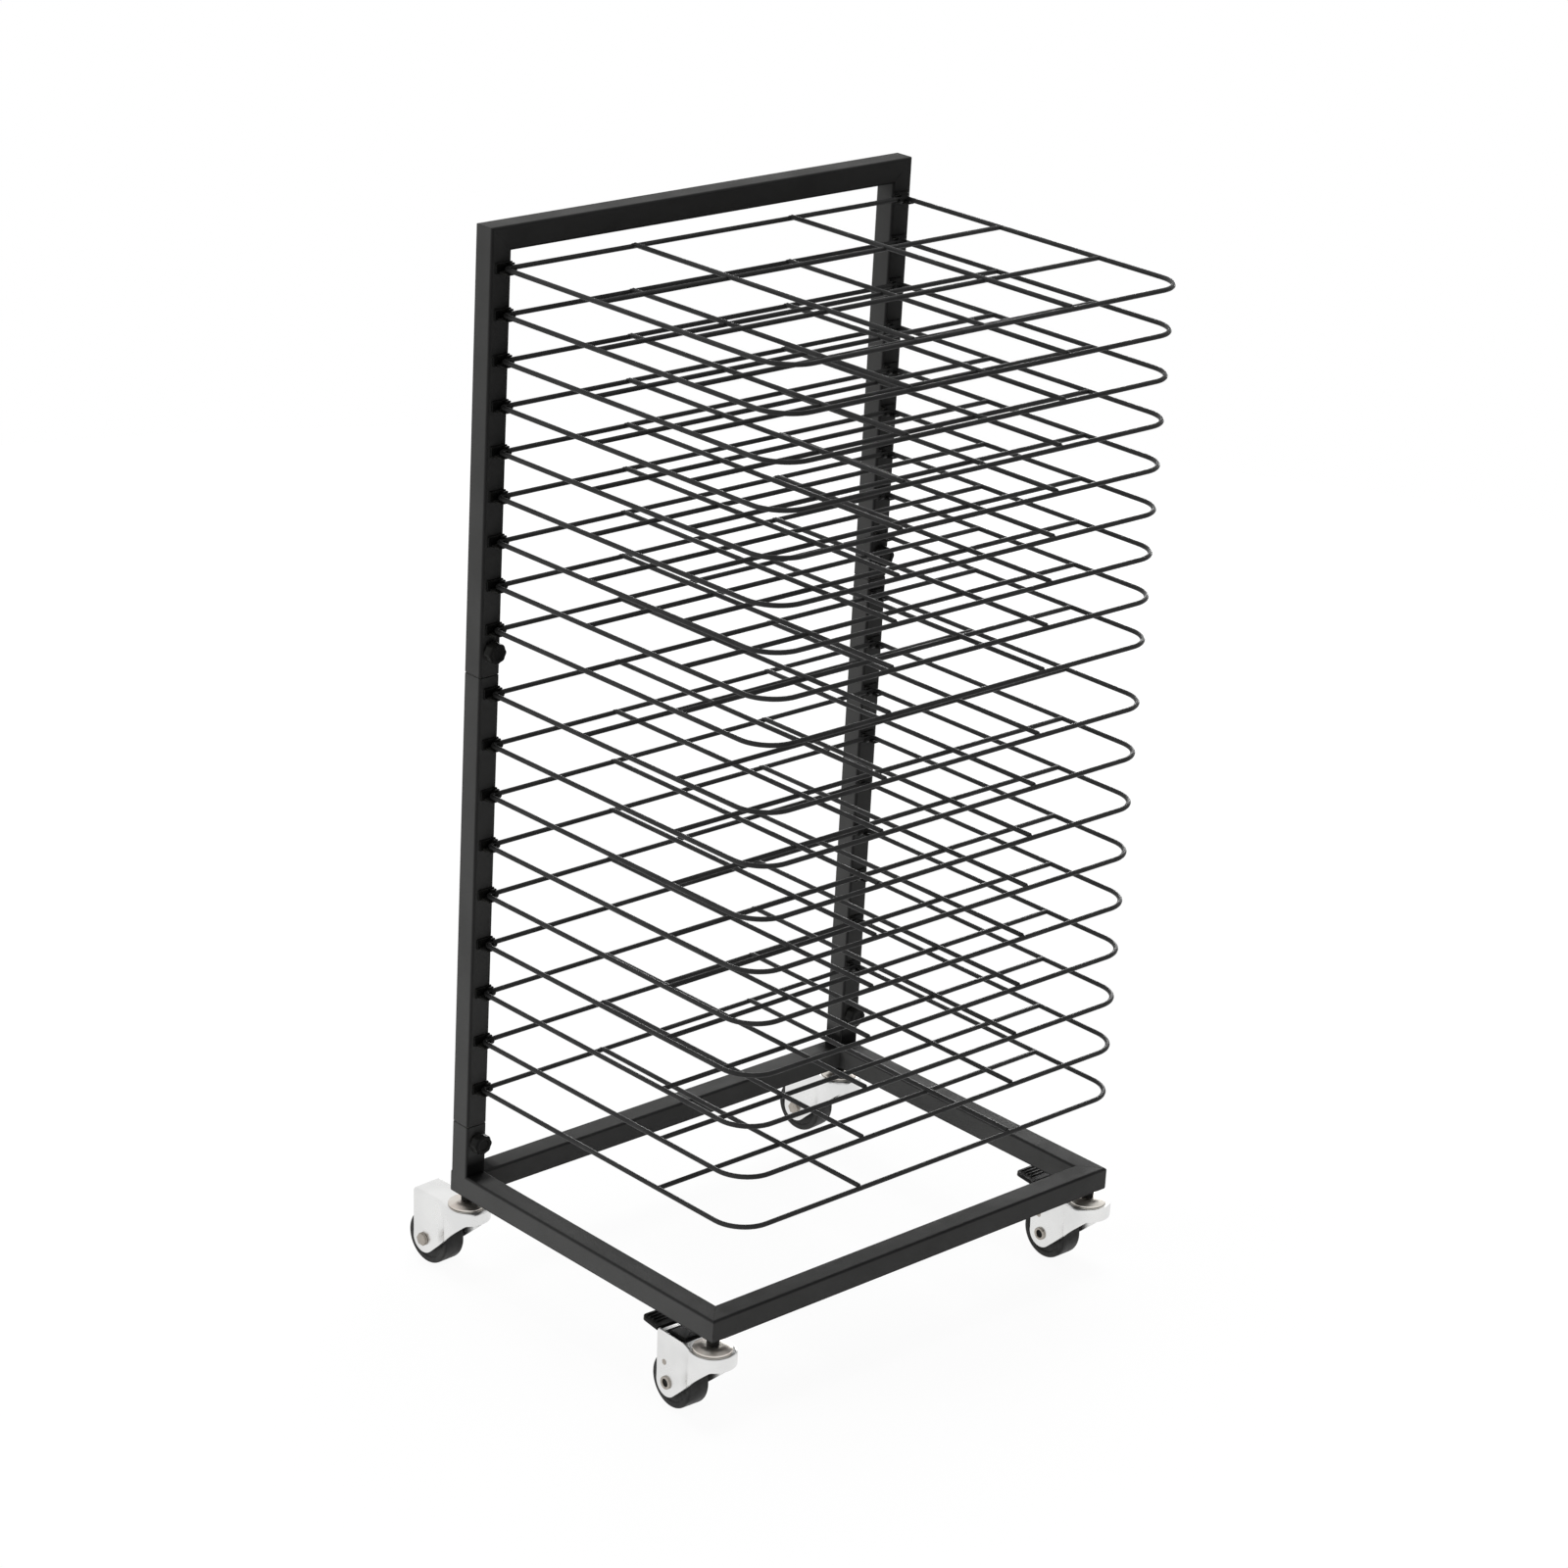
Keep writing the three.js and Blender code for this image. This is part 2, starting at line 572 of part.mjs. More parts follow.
function caster(name, x, y, swivel, braked) {
  const group = new THREE.Group();
  const wheel = piece(`${name}_wheel`, wheelGeometry(), 'wheelRubber');
  const axle = piece(`${name}_axle`, axleGeometry(), 'zincSteel');
  wheel.position.set(casterTrail, 0, axleZ);
  axle.position.copy(wheel.position);
  group.add(
    piece(`${name}_stem`, stemGeometry(), 'blackPlastic'),
    piece(`${name}_ring`, ringGeometry(), 'brass'),
    piece(`${name}_fork`, forkGeometry(braked), 'chrome'),
    wheel, axle);
  if (braked) group.add(piece(`${name}_pedal`, pedalGeometry(), 'blackPlastic'));
  group.position.set(x, y, 0);
  group.rotation.z = THREE.MathUtils.degToRad(swivel);
  return group;
}

const rack = new THREE.Group();
rack.add(
  baseFrame(),
  backFrame(),
  shelves(),
  caster('front_left_caster', -postX, -postY, frontLeftSwivel, true),
  caster('front_right_caster', postX, -postY, frontRightSwivel, true),
  caster('rear_left_caster', -postX, postY, rearLeftSwivel, false),
  caster('rear_right_caster', postX, postY, rearRightSwivel, false));
rack.position.z = casterHeight;

export default rack;
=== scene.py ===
"""Visible surfaces of a wheeled art drying rack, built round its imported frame. Metres, +Z up."""

import json
import math

import bmesh
import bpy
import numpy as np
from bpy.props import FloatProperty, FloatVectorProperty, IntProperty, PointerProperty
from mathutils import Matrix, Vector


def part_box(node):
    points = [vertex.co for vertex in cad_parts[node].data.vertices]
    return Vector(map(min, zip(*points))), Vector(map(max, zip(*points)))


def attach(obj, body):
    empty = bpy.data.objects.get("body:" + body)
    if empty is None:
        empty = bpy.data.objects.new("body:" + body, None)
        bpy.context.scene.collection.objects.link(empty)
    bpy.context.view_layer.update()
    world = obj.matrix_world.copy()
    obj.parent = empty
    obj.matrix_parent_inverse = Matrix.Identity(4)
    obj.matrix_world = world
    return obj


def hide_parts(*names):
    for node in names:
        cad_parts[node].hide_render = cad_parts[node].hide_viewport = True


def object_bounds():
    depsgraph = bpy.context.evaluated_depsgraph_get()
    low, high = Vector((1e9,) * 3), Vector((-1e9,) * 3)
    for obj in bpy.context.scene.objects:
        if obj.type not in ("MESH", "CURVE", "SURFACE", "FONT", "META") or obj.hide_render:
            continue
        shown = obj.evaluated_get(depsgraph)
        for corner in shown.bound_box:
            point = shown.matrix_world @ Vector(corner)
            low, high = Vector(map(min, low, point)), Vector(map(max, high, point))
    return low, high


bl_info = {
    "name": "Art drying rack",
    "version": (1, 0, 0),
    "blender": (4, 5, 0),
    "location": "View3D > Sidebar > Drying rack",
    "description": "Builds the tubes, wire shelves, clips, knobs and casters of an art drying rack",
    "category": "Add Mesh",
}

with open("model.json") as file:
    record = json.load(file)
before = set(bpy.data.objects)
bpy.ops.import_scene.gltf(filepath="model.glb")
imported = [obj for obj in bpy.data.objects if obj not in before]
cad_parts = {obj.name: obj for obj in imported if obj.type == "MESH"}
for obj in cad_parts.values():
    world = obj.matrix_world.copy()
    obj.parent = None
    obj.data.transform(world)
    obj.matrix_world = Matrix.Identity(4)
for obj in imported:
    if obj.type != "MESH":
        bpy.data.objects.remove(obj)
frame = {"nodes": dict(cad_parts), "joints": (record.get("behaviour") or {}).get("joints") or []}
CAD_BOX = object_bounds()
JOINTS = {joint["name"]: joint for joint in frame["joints"]}
SHELVES = sorted(node for node in frame["nodes"] if node.startswith("shelf_"))
KNOBS = sorted(node for node in frame["nodes"] if node.endswith("_knob"))
SLEEVES = sorted(node for node in frame["nodes"] if node.endswith("_sleeve"))
CASTERS = ("front_left", "front_right", "rear_left", "rear_right")
BRAKED = ("front_left", "front_right")
SIDES = {"left": -1, "right": 1}
X, Y, Z = np.eye(3)

# Each tube: the way it runs, the side that its mitres leave longer, and how its start and end are made
TUBES = {
    "base_front_rail": (X, -Y, "mitre", "mitre"),
    "base_rear_rail": (X, Y, "mitre", "mitre"),
    "base_left_rail": (Y, -X, "mitre", "mitre"),
    "base_right_rail": (Y, X, "mitre", "mitre"),
    "top_rail": (X, Z, "mitre", "mitre"),
    "left_post_socket": (Z, -X, "weld", "cut"),
    "right_post_socket": (Z, X, "weld", "cut"),
    "left_lower_post": (Z, -X, "cut", "cut"),
    "right_lower_post": (Z, X, "cut", "cut"),
    "left_upper_post": (Z, -X, "cut", "mitre"),
    "right_upper_post": (Z, X, "cut", "mitre"),
}

MERGE = 1e-6  # points closer than this are one
CORNER_STEPS = 6
WIRE_SIDES = 12
TURN_STEPS = 64
SMALL_TURN_STEPS = 32
HEX_SIDES = 6
EDGE_SEGMENTS = 2  # of a rounded edge
CHEEK_COLUMNS = 16  # of points along a fork's cheek
CREASE_STEPS = 4  # between a cheek and the nose
LEVEL_COLUMNS = 3  # columns of a cheek that end on its lower edge, ahead of the round tip
RING_CUTS = (0.1, 0.3, 0.6, 4, 0.2)  # rounding of a bearing ring's corners, in heights of its rim
NEAR = 0.0005  # points closer than this to a face count as on it
EDGE_SHARE = 0.49  # the most of an edge that the rounding of one corner may take
SHARP = math.radians(38)  # edges that turn by more than this stay sharp


def size(name, default, description):
    """A length that can be set, in metres."""
    return FloatProperty(name=name, default=default, description=description, min=0, precision=4,
                         unit="LENGTH")


def turn(name, degrees, description):
    """An angle that can be set."""
    return FloatProperty(name=name, default=math.radians(degrees), description=description,
                         subtype="ANGLE", unit="ROTATION")


def tint(name, default, description):
    """A colour that can be set."""
    return FloatVectorProperty(name=name, default=default, description=description, min=0, max=1,
                               subtype="COLOR")


def power(name, default, description):
    """A lamp's power that can be set, in watts."""
    return FloatProperty(name=name, default=default, description=description, min=0, unit="POWER")


def share(name, default, description):
    """A part of the whole that can be set, from 0 to 1."""
    return FloatProperty(name=name, default=default, description=description, min=0, max=1,
                         subtype="FACTOR")


class TubeSettings(bpy.types.PropertyGroup):
    """Square tube of the base and the back frame."""
    wall: size("Wall", 0.0012, "Thickness of the tube's wall")
    corner: size("Corner", 0.0030, "Rounding of the tube's long corners")
    cut: size("Cut end", 0.0008, "Rounding of a cut end at a seam")
    # The weld's dark is painted shade in the corner between a post's foot and the base
    weld: size("Weld", 0.024, "How far the dark of the weld at a post's foot spreads")


class ShelfSettings(bpy.types.PropertyGroup):
    """One wire shelf, measured forward from its rear wire."""
    wire: size("Wire", 0.005, "Diameter of the wire")
    front_corner: size("Front corner", 0.035, "Radius of the rim's front corners")
    rear_corner: size("Rear corner", 0.006, "Radius of the rim's rear corners")
    rear_cross: size("Rear cross wire", 0.138, "Rear wire to the first cross wire")
    front_cross: size("Front cross wire", 0.2755, "Rear wire to the second cross wire")
    plain: IntProperty(name="Plain shelves", default=8, min=0,
                       description="Lowest shelves, which have no rear cross wire")
    spacing: size("Long wires", 0.2075, "Between the two front-to-back wires")
    sink: size("Weld sink", 0.003, "How far crossing wires melt into each other")
    nugget: size("Weld nugget", 0.0027, "Radius of the weld at a crossing")
    nugget_rise: size("Weld rise", 0.00216, "Height of that weld above its middle")


class ClipSettings(bpy.types.PropertyGroup):
    """The moulded clip that holds one rear corner of a shelf."""
    width: size("Width", 0.020, "Width of the pad on the post")
    height: size("Height", 0.011, "Height of the pad on the post")
    wall: size("Wall", 0.0022, "Thickness of the pad and the hook")
    clearance: size("Clearance", 0.0003, "Between the hook and the wire")
    hook_width: size("Hook width", 0.0055, "Width of the hook round the rear wire")
    mouth_start: turn("Mouth start", 105, "Where the hook's mouth opens, up and over from the rear")
    mouth_end: turn("Mouth end", 165, "Where the hook's mouth closes")
    ledge_width: size("Ledge width", 0.009, "Width of the ledge below the side wire")
    ledge_reach: size("Ledge reach", 0.009, "Ledge in front of the rear wire")
    ledge_tip: size("Ledge tip", 0.002, "Thickness of the ledge at its tip")
    rounding: size("Rounding", 0.0006, "Rounded edges of the moulding")


class KnobSettings(bpy.types.PropertyGroup):
    """The clamping knob at a seam of the posts."""
    diameter: size("Diameter", 0.022, "Over the lobes")
    depth: size("Depth", 0.010, "Thickness of the head")
    boss: size("Boss", 0.013, "Diameter of the boss behind the head")
    boss_depth: size("Boss depth", 0.0023, "Post to the back of the head")
    screw: size("Screw", 0.006, "Diameter of the screw")
    lobes: IntProperty(name="Lobes", default=8, description="Grips round the head", min=3)
    scallop: size("Scallop", 0.0009, "Depth of the hollows between the grips")
    dish: size("Dish", 0.0012, "Depth of the round recess in the face")
    well: size("Well", 0.0112, "Diameter of that recess at its floor")
    rounding: size("Rounding", 0.0018, "Rounded edges of the head")


class CasterSettings(bpy.types.PropertyGroup):
    """One swivel caster, measured from its swivel axis along the way it trails."""
    collar: size("Collar", 0.013, "Diameter of the collar under the base")
    collar_height: size("Collar height", 0.0081, "Height of the collar")
    shank: size("Shank", 0.008, "Diameter of the stem")
    stem_head: size("Stem head", 0.014, "Diameter of the head below the fork's roof")
    stem_head_height: size("Stem head height", 0.003, "Height of that head")
    stem_edge: size("Stem edge", 0.0007, "Rounded edges of the stem")
    ring: size("Ring", 0.040, "Diameter of the domed bearing ring")
    ring_rim: size("Ring rim", 0.0016, "Height of the dome's edge")
    ring_crown: size("Ring crown", 0.024, "Diameter of the dome's flat top")
    gap: size("Gap", 0.0003, "Between pieces that turn on each other")
    sheet: size("Sheet", 0.002, "Thickness of the fork")
    sheet_edge: size("Sheet edge", 0.0004, "Rounded edges of the fork")
    bend: size("Bend", 0.003, "Outer radius of the bend between the fork's roof and sides")
    nose: size("Nose", 0.025, "Radius of the fork's nose round the swivel axis")
    nose_spread: turn("Nose spread", 60, "Where the nose ends, either side of the trailing way")
    nose_depth: size("Nose depth", 0.014, "Height of the nose")
    nose_reach: size("Nose reach", 0.018, "Where the lower edge levels out, ahead of the swivel axis")
    taper: size("Taper", 0.024, "Where the nose has narrowed to the cheeks")
    crease: size("Crease", 0.003, "Rounding of the crease between the nose and a cheek")
    cheek: size("Cheek", 0.0185, "Middle of the fork to the outside of a cheek")
    length: size("Length", 0.063, "Swivel axis to the trailing end of the cheeks")
    tip: size("Tip", 0.0155, "Radius of the cheek round the axle")
    tip_start: turn("Tip start", 8, "Where the round tip meets the trailing edge")
    tip_end: turn("Tip end", -130, "Where the round tip meets the lower edge")
    window_start: size("Window start", 0.024, "Front of the window in a braked fork's roof")
    window_end: size("Window end", 0.055, "Back of that window")
    bridge_end: size("Bridge end", 0.060, "Back of the strip behind the window")
    rivet: size("Rivet", 0.0062, "Diameter of the rivet on a braked fork's cheeks")
    rivet_height: size("Rivet height", 0.0010, "Height of that rivet")
    rivet_back: size("Rivet place", 0.0045, "Rivet behind the axle")
    rivet_rise: size("Rivet rise", 0.021, "Rivet above the axle")
    wheel_width: size("Wheel width", 0.026, "Width of the tread")
    shoulder: size("Shoulder", 0.0072, "Rounding of the tread's shoulders")
    rim: size("Rim", 0.005, "Depth of the tyre, in from the tread")
    hub: size("Hub", 0.022, "Diameter of the hub")
    hub_step: size("Hub step", 0.0005, "Hub proud of the tread's sides")
    dish: size("Dish", 0.002, "Hollow of the wheel's sides")
    wheel_edge: size("Wheel edge", 0.0008, "Rounded edges of the hub and the wheel's sides")
    axle: size("Axle", 0.008, "Diameter of the axle")
    axle_head: size("Axle head", 0.014, "Diameter of the axle's heads")
    axle_head_height: size("Axle head height", 0.004, "Height of the axle's heads")
    axle_bore: size("Axle bore", 0.0084, "Diameter of the open bore of a braked caster's axle")


class PedalSettings(bpy.types.PropertyGroup):
    """The brake pedal of a front caster."""
    width: size("Width", 0.024, "Width of the lever between the cheeks")
    thickness: size("Thickness", 0.0065, "Lever above its pin")
    lug_front: size("Lug front", 0.027, "Front of the lug in the window")
    lug_back: size("Lug back", 0.050, "Back of the lug in the window")
    lug_rise: size("Lug rise", 0.0022, "Lug above the fork")
    lug_slope: size("Lug slope", 0.003, "Slope behind the lug")
    tab_start: size("Tab start", 0.065, "Front of the tab behind the fork")
    tab_length: size("Tab length", 0.025, "Length of the tab")
    tab_width: size("Tab width", 0.034, "Width of the tab")
    tab_thickness: size("Tab thickness", 0.004, "Thickness of the tab")
    tab_rise: size("Tab rise", 0.0025, "Tip of the tab above its front")
    tab_corner: size("Tab corner", 0.006, "Rounding of the tab's corners")
    shoe_reach: size("Shoe reach", 0.005, "Brake shoe behind the pin")
    brake_gap: size("Brake gap", 0.003, "Released shoe to the wheel")
    pin: size("Pin", 0.004, "Diameter of the pin")
    ridge: size("Ridge", 0.0016, "Width of a ridge across the tab")
    ridges: IntProperty(name="Ridges", default=4, description="Ridges across the tab", min=0)
    rounding: size("Rounding", 0.0009, "Rounded edges of the moulding")


class FinishSettings(bpy.types.PropertyGroup):
    """Colours of the finishes, and the darker or paler tone that each drifts to."""
    coat: tint("Powder coat", (0.070, 0.070, 0.069), "Satin black coat on the tubes")
    coat_drift: tint("Powder coat, drift", (0.062, 0.062, 0.061), "Tone that the coat drifts to")
    # Colour of the painted shade along the tubes' rounded corners
    coat_edge: tint("Powder coat, corners", (0.024, 0.024, 0.024), "Thin coat along the tubes' corners")
    # Colour of the painted shade in the corners at the posts' feet and on the wires deep in the clips
    coat_weld: tint("Powder coat, welds", (0.006, 0.006, 0.006), "Dark coat at the welds and in the clips")
    wire: tint("Wire coat", (0.032, 0.032, 0.032), "Black coat on the shelves")
    wire_drift: tint("Wire coat, drift", (0.024, 0.024, 0.024), "Tone that the wire coat drifts to")
    plastic: tint("Plastic", (0.007, 0.007, 0.007), "Moulded black plastic")
    plastic_drift: tint("Plastic, drift", (0.011, 0.011, 0.010), "Tone that the plastic drifts to")
    plate: tint("Bright plate", (0.78, 0.78, 0.772), "Bright plated forks")
    plate_drift: tint("Bright plate, drift", (0.73, 0.73, 0.725), "Tone that the plate drifts to")
    zinc: tint("Zinc", (0.42, 0.39, 0.35), "Zinc-plated steel")
    zinc_drift: tint("Zinc, drift", (0.32, 0.29, 0.26), "Darker spangles of the zinc")
    yellow: tint("Yellow zinc", (0.70, 0.67, 0.62), "Yellow-passivated bearing rings")
    yellow_drift: tint("Yellow zinc, drift", (0.62, 0.56, 0.51), "Rosier tone of the rings")
    rubber: tint("Rubber", (0.012, 0.012, 0.012), "Wheels")
    rubber_drift: tint("Rubber, drift", (0.019, 0.019, 0.018), "Dusty tone of the wheels")


class StageSettings(bpy.types.PropertyGroup):
    """Camera, light and floor."""
    lens: FloatProperty(name="Lens", default=100.295, description="Focal length on a 36 mm sensor",
                        unit="CAMERA")
    azimuth: turn("Azimuth", -43.616, "Where the camera stands, from the front towards the right")
    elevation: turn("Elevation", 21.607, "How far down the camera looks")
    roll: turn("Roll", 3.165, "Turn of the camera about its own axis")
    eye: FloatVectorProperty(name="Eye", default=(-2.8352, -2.9468, 2.1714), subtype="TRANSLATION",
                             unit="LENGTH", description="Where the camera stands")
    overhead: power("Overhead", 1200, "Lamp above")
    side: power("Side", 240, "Lamp at the left")
    low: power("Low", 42, "Low lamp behind at the right")
    front: power("Front", 3.8, "Low lamp in front")
    ambient: share("Ambient", 0.03, "Light from all round")
    floor: tint("Floor", (0.90, 0.90, 0.90), "Colour of the floor round the rack")
    floor_far: tint("Far floor", (0.10, 0.10, 0.10), "Colour of the floor away from the rack")
    floor_near: size("Near floor", 1.0, "How far out the floor keeps its colour")
    floor_fade: size("Fading floor", 2.2, "Where the floor has faded to its far colour")
    floor_radius: size("Floor radius", 3.0, "How far out the floor reaches")
    glow: share("Floor glow", 0.945, "White of the floor near the rack, as the camera sees it")
    shadow: share("Floor shadow", 0.06, "How strongly the floor shows light and shadow")


class RackSettings(bpy.types.PropertyGroup):
    """Everything that can be changed on the drying rack."""
    tube: PointerProperty(type=TubeSettings)
    shelf: PointerProperty(type=ShelfSettings)
    clip: PointerProperty(type=ClipSettings)
    knob: PointerProperty(type=KnobSettings)
    caster: PointerProperty(type=CasterSettings)
    pedal: PointerProperty(type=PedalSettings)
    finish: PointerProperty(type=FinishSettings)
    stage: PointerProperty(type=StageSettings)


def settings():
    """The rack's settings in this scene."""
    return bpy.context.scene.drying_rack


# Outlines and surfaces. A surface is its points, (n, 3), its quads, (m, 4), and a list of flat end caps.

def polar(radius, angle):
    """The point at radius r and angle a: (r cos a, r sin a)."""
    return np.stack([radius * np.cos(angle), radius * np.sin(angle)], -1)


def even_turn(steps):
    """Angles evenly spaced round a full turn."""
    return np.arange(steps) * 2 * math.pi / steps


def circle(sides):
    """Points of a unit circle, evenly spaced."""
    return polar(1.0, even_turn(sides))


def laid_flat(outline):
    """An outline's points with 0 as their height."""
    return np.pad(outline, ((0, 0), (0, 1)))


def soften(corners, cut, steps, closed=True):
    """Rounds an outline: a corner c becomes the curve (1-t)^2 p + 2t(1-t) c + t^2 q, where p and q lie on
    the edges before and after c, the cut away from it. The ends of an open outline stay as they are."""
    corners = np.asarray(corners, float)
    before = np.roll(corners, 1, 0) - corners
    after = np.roll(corners, -1, 0) - corners
    spans = np.linalg.norm([before, after], axis=-1)
    reach = np.minimum(cut, EDGE_SHARE * spans.min(0))
    p = corners + before * (reach / spans[0])[:, None]
    q = corners + after * (reach / spans[1])[:, None]
    t = np.linspace(0, 1, steps + 1)[None, :, None]
    curves = (1 - t) ** 2 * p[:, None] + 2 * t * (1 - t) * corners[:, None] + t ** 2 * q[:, None]
    if closed:
        return curves.reshape(-1, 2)
    return np.concatenate([corners[:1], curves[1:-1].reshape(-1, 2), corners[-1:]])


def grid(points, wrap_rows=False, wrap_columns=True):
    """A grid of points, (rows, columns, 3), with a quad between each four neighbours."""
    rows, columns = points.shape[:2]
    number = np.arange(rows * columns).reshape(rows, columns)
    if wrap_rows:
        number = np.vstack([number, number[:1]])
    if wrap_columns:
        number = np.hstack([number, number[:, :1]])
    corners = [number[:-1, :-1], number[:-1, 1:], number[1:, 1:], number[1:, :-1]]
    return points.reshape(-1, 3), np.stack(corners, -1).reshape(-1, 4), []


def prism(outline, start, end, axes):
    """A flat outline carried straight from start to end and closed by itself at both ends. The rows of
    axes are the outline's two directions and the way it is carried."""
    flat = laid_flat(outline)
    points, quads, _ = grid(np.stack([flat + start * Z, flat + end * Z]) @ axes)
    first = np.arange(len(outline))
    return points, quads, [first, first + len(outline)]


def turned(profile, steps, wrap=False, axes=np.eye(3), drawn_in=0):
    """A profile of (radius, height) turned about the third axis: the point of profile row i at angle a is
    (r cos a, r sin a, h), where r is the row's radius less what is drawn in at that angle."""
    radius, height = np.asarray(profile, float).T
    level = (radius[:, None] - drawn_in)[..., None] * laid_flat(circle(steps))
    return grid((level + height[:, None, None] * Z) @ axes, wrap_rows=wrap)


def wire(start, end, radius):
    """Round wire: a circle carried along a straight line. Over the domed ends the circle shrinks with the
    sine of an angle while its centre moves out by half the radius times the cosine."""
    start, end = np.asarray(start, float), np.asarray(end, float)
    along = (end - start) / np.linalg.norm(end - start)
    across = np.cross(along, Z)
    up = np.cross(across, along)
    dome = np.linspace(0, math.pi / 2, CORNER_STEPS)
    scale = radius * np.concatenate([np.sin(dome), np.sin(dome[::-1])])
    out = radius / 2 * np.concatenate([-np.cos(dome), np.cos(dome[::-1])])
    ends = np.repeat([start, end], CORNER_STEPS, axis=0) + out[:, None] * along
    section = circle(WIRE_SIDES) @ np.stack([across, up])
    return grid(ends[:, None] + scale[:, None, None] * section)


def cross_bar(reach, diameter):
    """Round bar along Y, to the same reach on both sides."""
    return wire(-reach * Y, reach * Y, diameter / 2)


def nugget(centre, reach):
    """Weld nugget: an ellipsoid whose point at angles a and b is (cos a sin b, sin a sin b, cos b) times
    the reach along X, Y and Z."""
    polar_angle = np.linspace(0, math.pi, CORNER_STEPS)
    profile = np.stack([np.sin(polar_angle), np.cos(polar_angle)], -1)
    points, quads, caps = turned(profile, WIRE_SIDES // 2)
    return points * reach + centre, quads, caps


def moved(surface, offset, axes=np.eye(3)):
    """A surface laid along the rows a, b and c of axes and then shifted: its point (x, y, z) becomes
    x a + y b + z c + offset."""
    points, quads, caps = surface
    return points @ axes + offset, quads, caps


def combined(surfaces):
    """Several surfaces as one, with the points of each numbered on from the last."""
    starts = np.cumsum([0] + [len(points) for points, _, _ in surfaces[:-1]])
    points = np.concatenate([points for points, _, _ in surfaces])
    quads = np.concatenate([quads + start for (_, quads, _), start in zip(surfaces, starts)])
    caps = [cap + start for (_, _, caps), start in zip(surfaces, starts) for cap in caps]
    return points, quads, caps


def add_piece(name, surface, finish, body, replaced, closed=True, tones=None):
    """Makes a surface an object that rides on a body and stands for CAD nodes. tones holds a value from 0
    to 1 for each point, by the name of the attribute that a material reads."""
    points, quads, caps = surface
    mesh = bpy.data.meshes.new(name)
    mesh.from_pydata(points.tolist(), [], quads.tolist() + [cap.tolist() for cap in caps])
    for tone, values in (tones or {}).items():
        mesh.attributes.new(tone, "FLOAT", "POINT").data.foreach_set("value", values.astype(np.float32))
    shell = bmesh.new()
    shell.from_mesh(mesh)
    bmesh.ops.remove_doubles(shell, verts=shell.verts, dist=MERGE)
    if closed:
        bmesh.ops.recalc_face_normals(shell, faces=shell.faces)
    shell.to_mesh(mesh)
    shell.free()
    mesh.shade_smooth()
    mesh.set_sharp_from_angle(angle=SHARP)
    mesh.materials.append(material(finish))
    piece = bpy.data.objects.new(name, mesh)
    bpy.context.scene.collection.objects.link(piece)
    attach(piece, body)
    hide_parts(*replaced)
    return piece


def round_edges(piece, width):
    """Rounds a piece's sharp edges and keeps its flats flat."""
    piece.data.shade_smooth()
    bevel = piece.modifiers.new("Rounded edges", "BEVEL")
    bevel.width = width
    bevel.segments = EDGE_SEGMENTS
    bevel.limit_method = "ANGLE"
    bevel.angle_limit = SHARP
    bevel.harden_normals = True


def keep_flats(piece):
    """Weights the normals by face area, so that flats beside rounded corners stay flat."""
    piece.modifiers.new("Flat faces", "WEIGHTED_NORMAL").keep_sharp = True


def box(node):
    """Lowest and highest corners of a CAD node at rest."""
    low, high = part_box(node)
    return np.array(low), np.array(high)


def joint_place(name):
    """A point on a joint's axis at rest."""
    return np.array(JOINTS[name]["pos_m"], float)


# Materials

def add(tree, kind, inputs=None, **options):
    """Adds a shader node. An input given as a socket is linked, and any other value is set."""
    node = tree.nodes.new(kind)
    for option, value in options.items():
        setattr(node, option, value)
    for key, value in (inputs or {}).items():
        if isinstance(value, bpy.types.NodeSocket):
            tree.links.new(value, node.inputs[key])
        else:
            node.inputs[key].default_value = value
    return node


def new_group(name, inputs, outputs):
    """An empty shader node group, and its input and output sockets. Kinds of socket are given by name."""
    group = bpy.data.node_groups.new(name, "ShaderNodeTree")
    for direction, sockets in (("INPUT", inputs), ("OUTPUT", outputs)):
        for socket, kind in sockets.items():
            group.interface.new_socket(socket, in_out=direction, socket_type=f"NodeSocket{kind}")
    return group, add(group, "NodeGroupInput").outputs, add(group, "NodeGroupOutput").inputs


def place_on(tree):
    """Object coordinates, which are the frame's own, because every piece sits at the origin."""
    return add(tree, "ShaderNodeTexCoord").outputs["Object"]


def spread(tree, value, low, high):
    """Spreads a value so that low becomes 0 and high becomes 1."""
    inputs = {"Value": value, "From Min": low, "From Max": high}
    return add(tree, "ShaderNodeMapRange", inputs).outputs["Result"]


def reckoned(tree, operation, *values):
    """The result of a Math node."""
    return add(tree, "ShaderNodeMath", dict(enumerate(values)), operation=operation).outputs[0]


def spots(tree, scale, detail, low, high):
    """Soft noise, spread so that low becomes 0 and high becomes 1."""
    noise = add(tree, "ShaderNodeTexNoise", {"Vector": place_on(tree), "Scale": scale, "Detail": detail})
    return spread(tree, noise.outputs["Fac"], low, high)


def blended(tree, mask, first, second):
    """The first colour where the mask is 0 and the second where it is 1."""
    mix = add(tree, "ShaderNodeMix", {0: mask, 6: first, 7: second}, data_type="RGBA")
    return mix.outputs[2]


def tone_drift():
    """Drifts from a colour to another in soft clouds."""
    group, given, out = new_group("tone_drift", {"Color": "Color", "Drift": "Color", "Scale": "Float"},
                                  {"Color": "Color"})
    mask = spots(group, given["Scale"], detail=4.0, low=0.38, high=0.62)
    group.links.new(blended(group, mask, given["Color"], given["Drift"]), out["Color"])
    return group


def handling():
    """Roughness that wanders between a polished and a dull value, as on a handled surface."""
    group, given, out = new_group("handling", {"Polished": "Float", "Dull": "Float", "Scale": "Float"},
                                  {"Roughness": "Float"})
    mask = spots(group, given["Scale"], detail=6.0, low=0.35, high=0.65)
    value = add(group, "ShaderNodeMix", {0: mask, 2: given["Polished"], 3: given["Dull"]}).outputs[0]
    group.links.new(value, out["Roughness"])
    return group


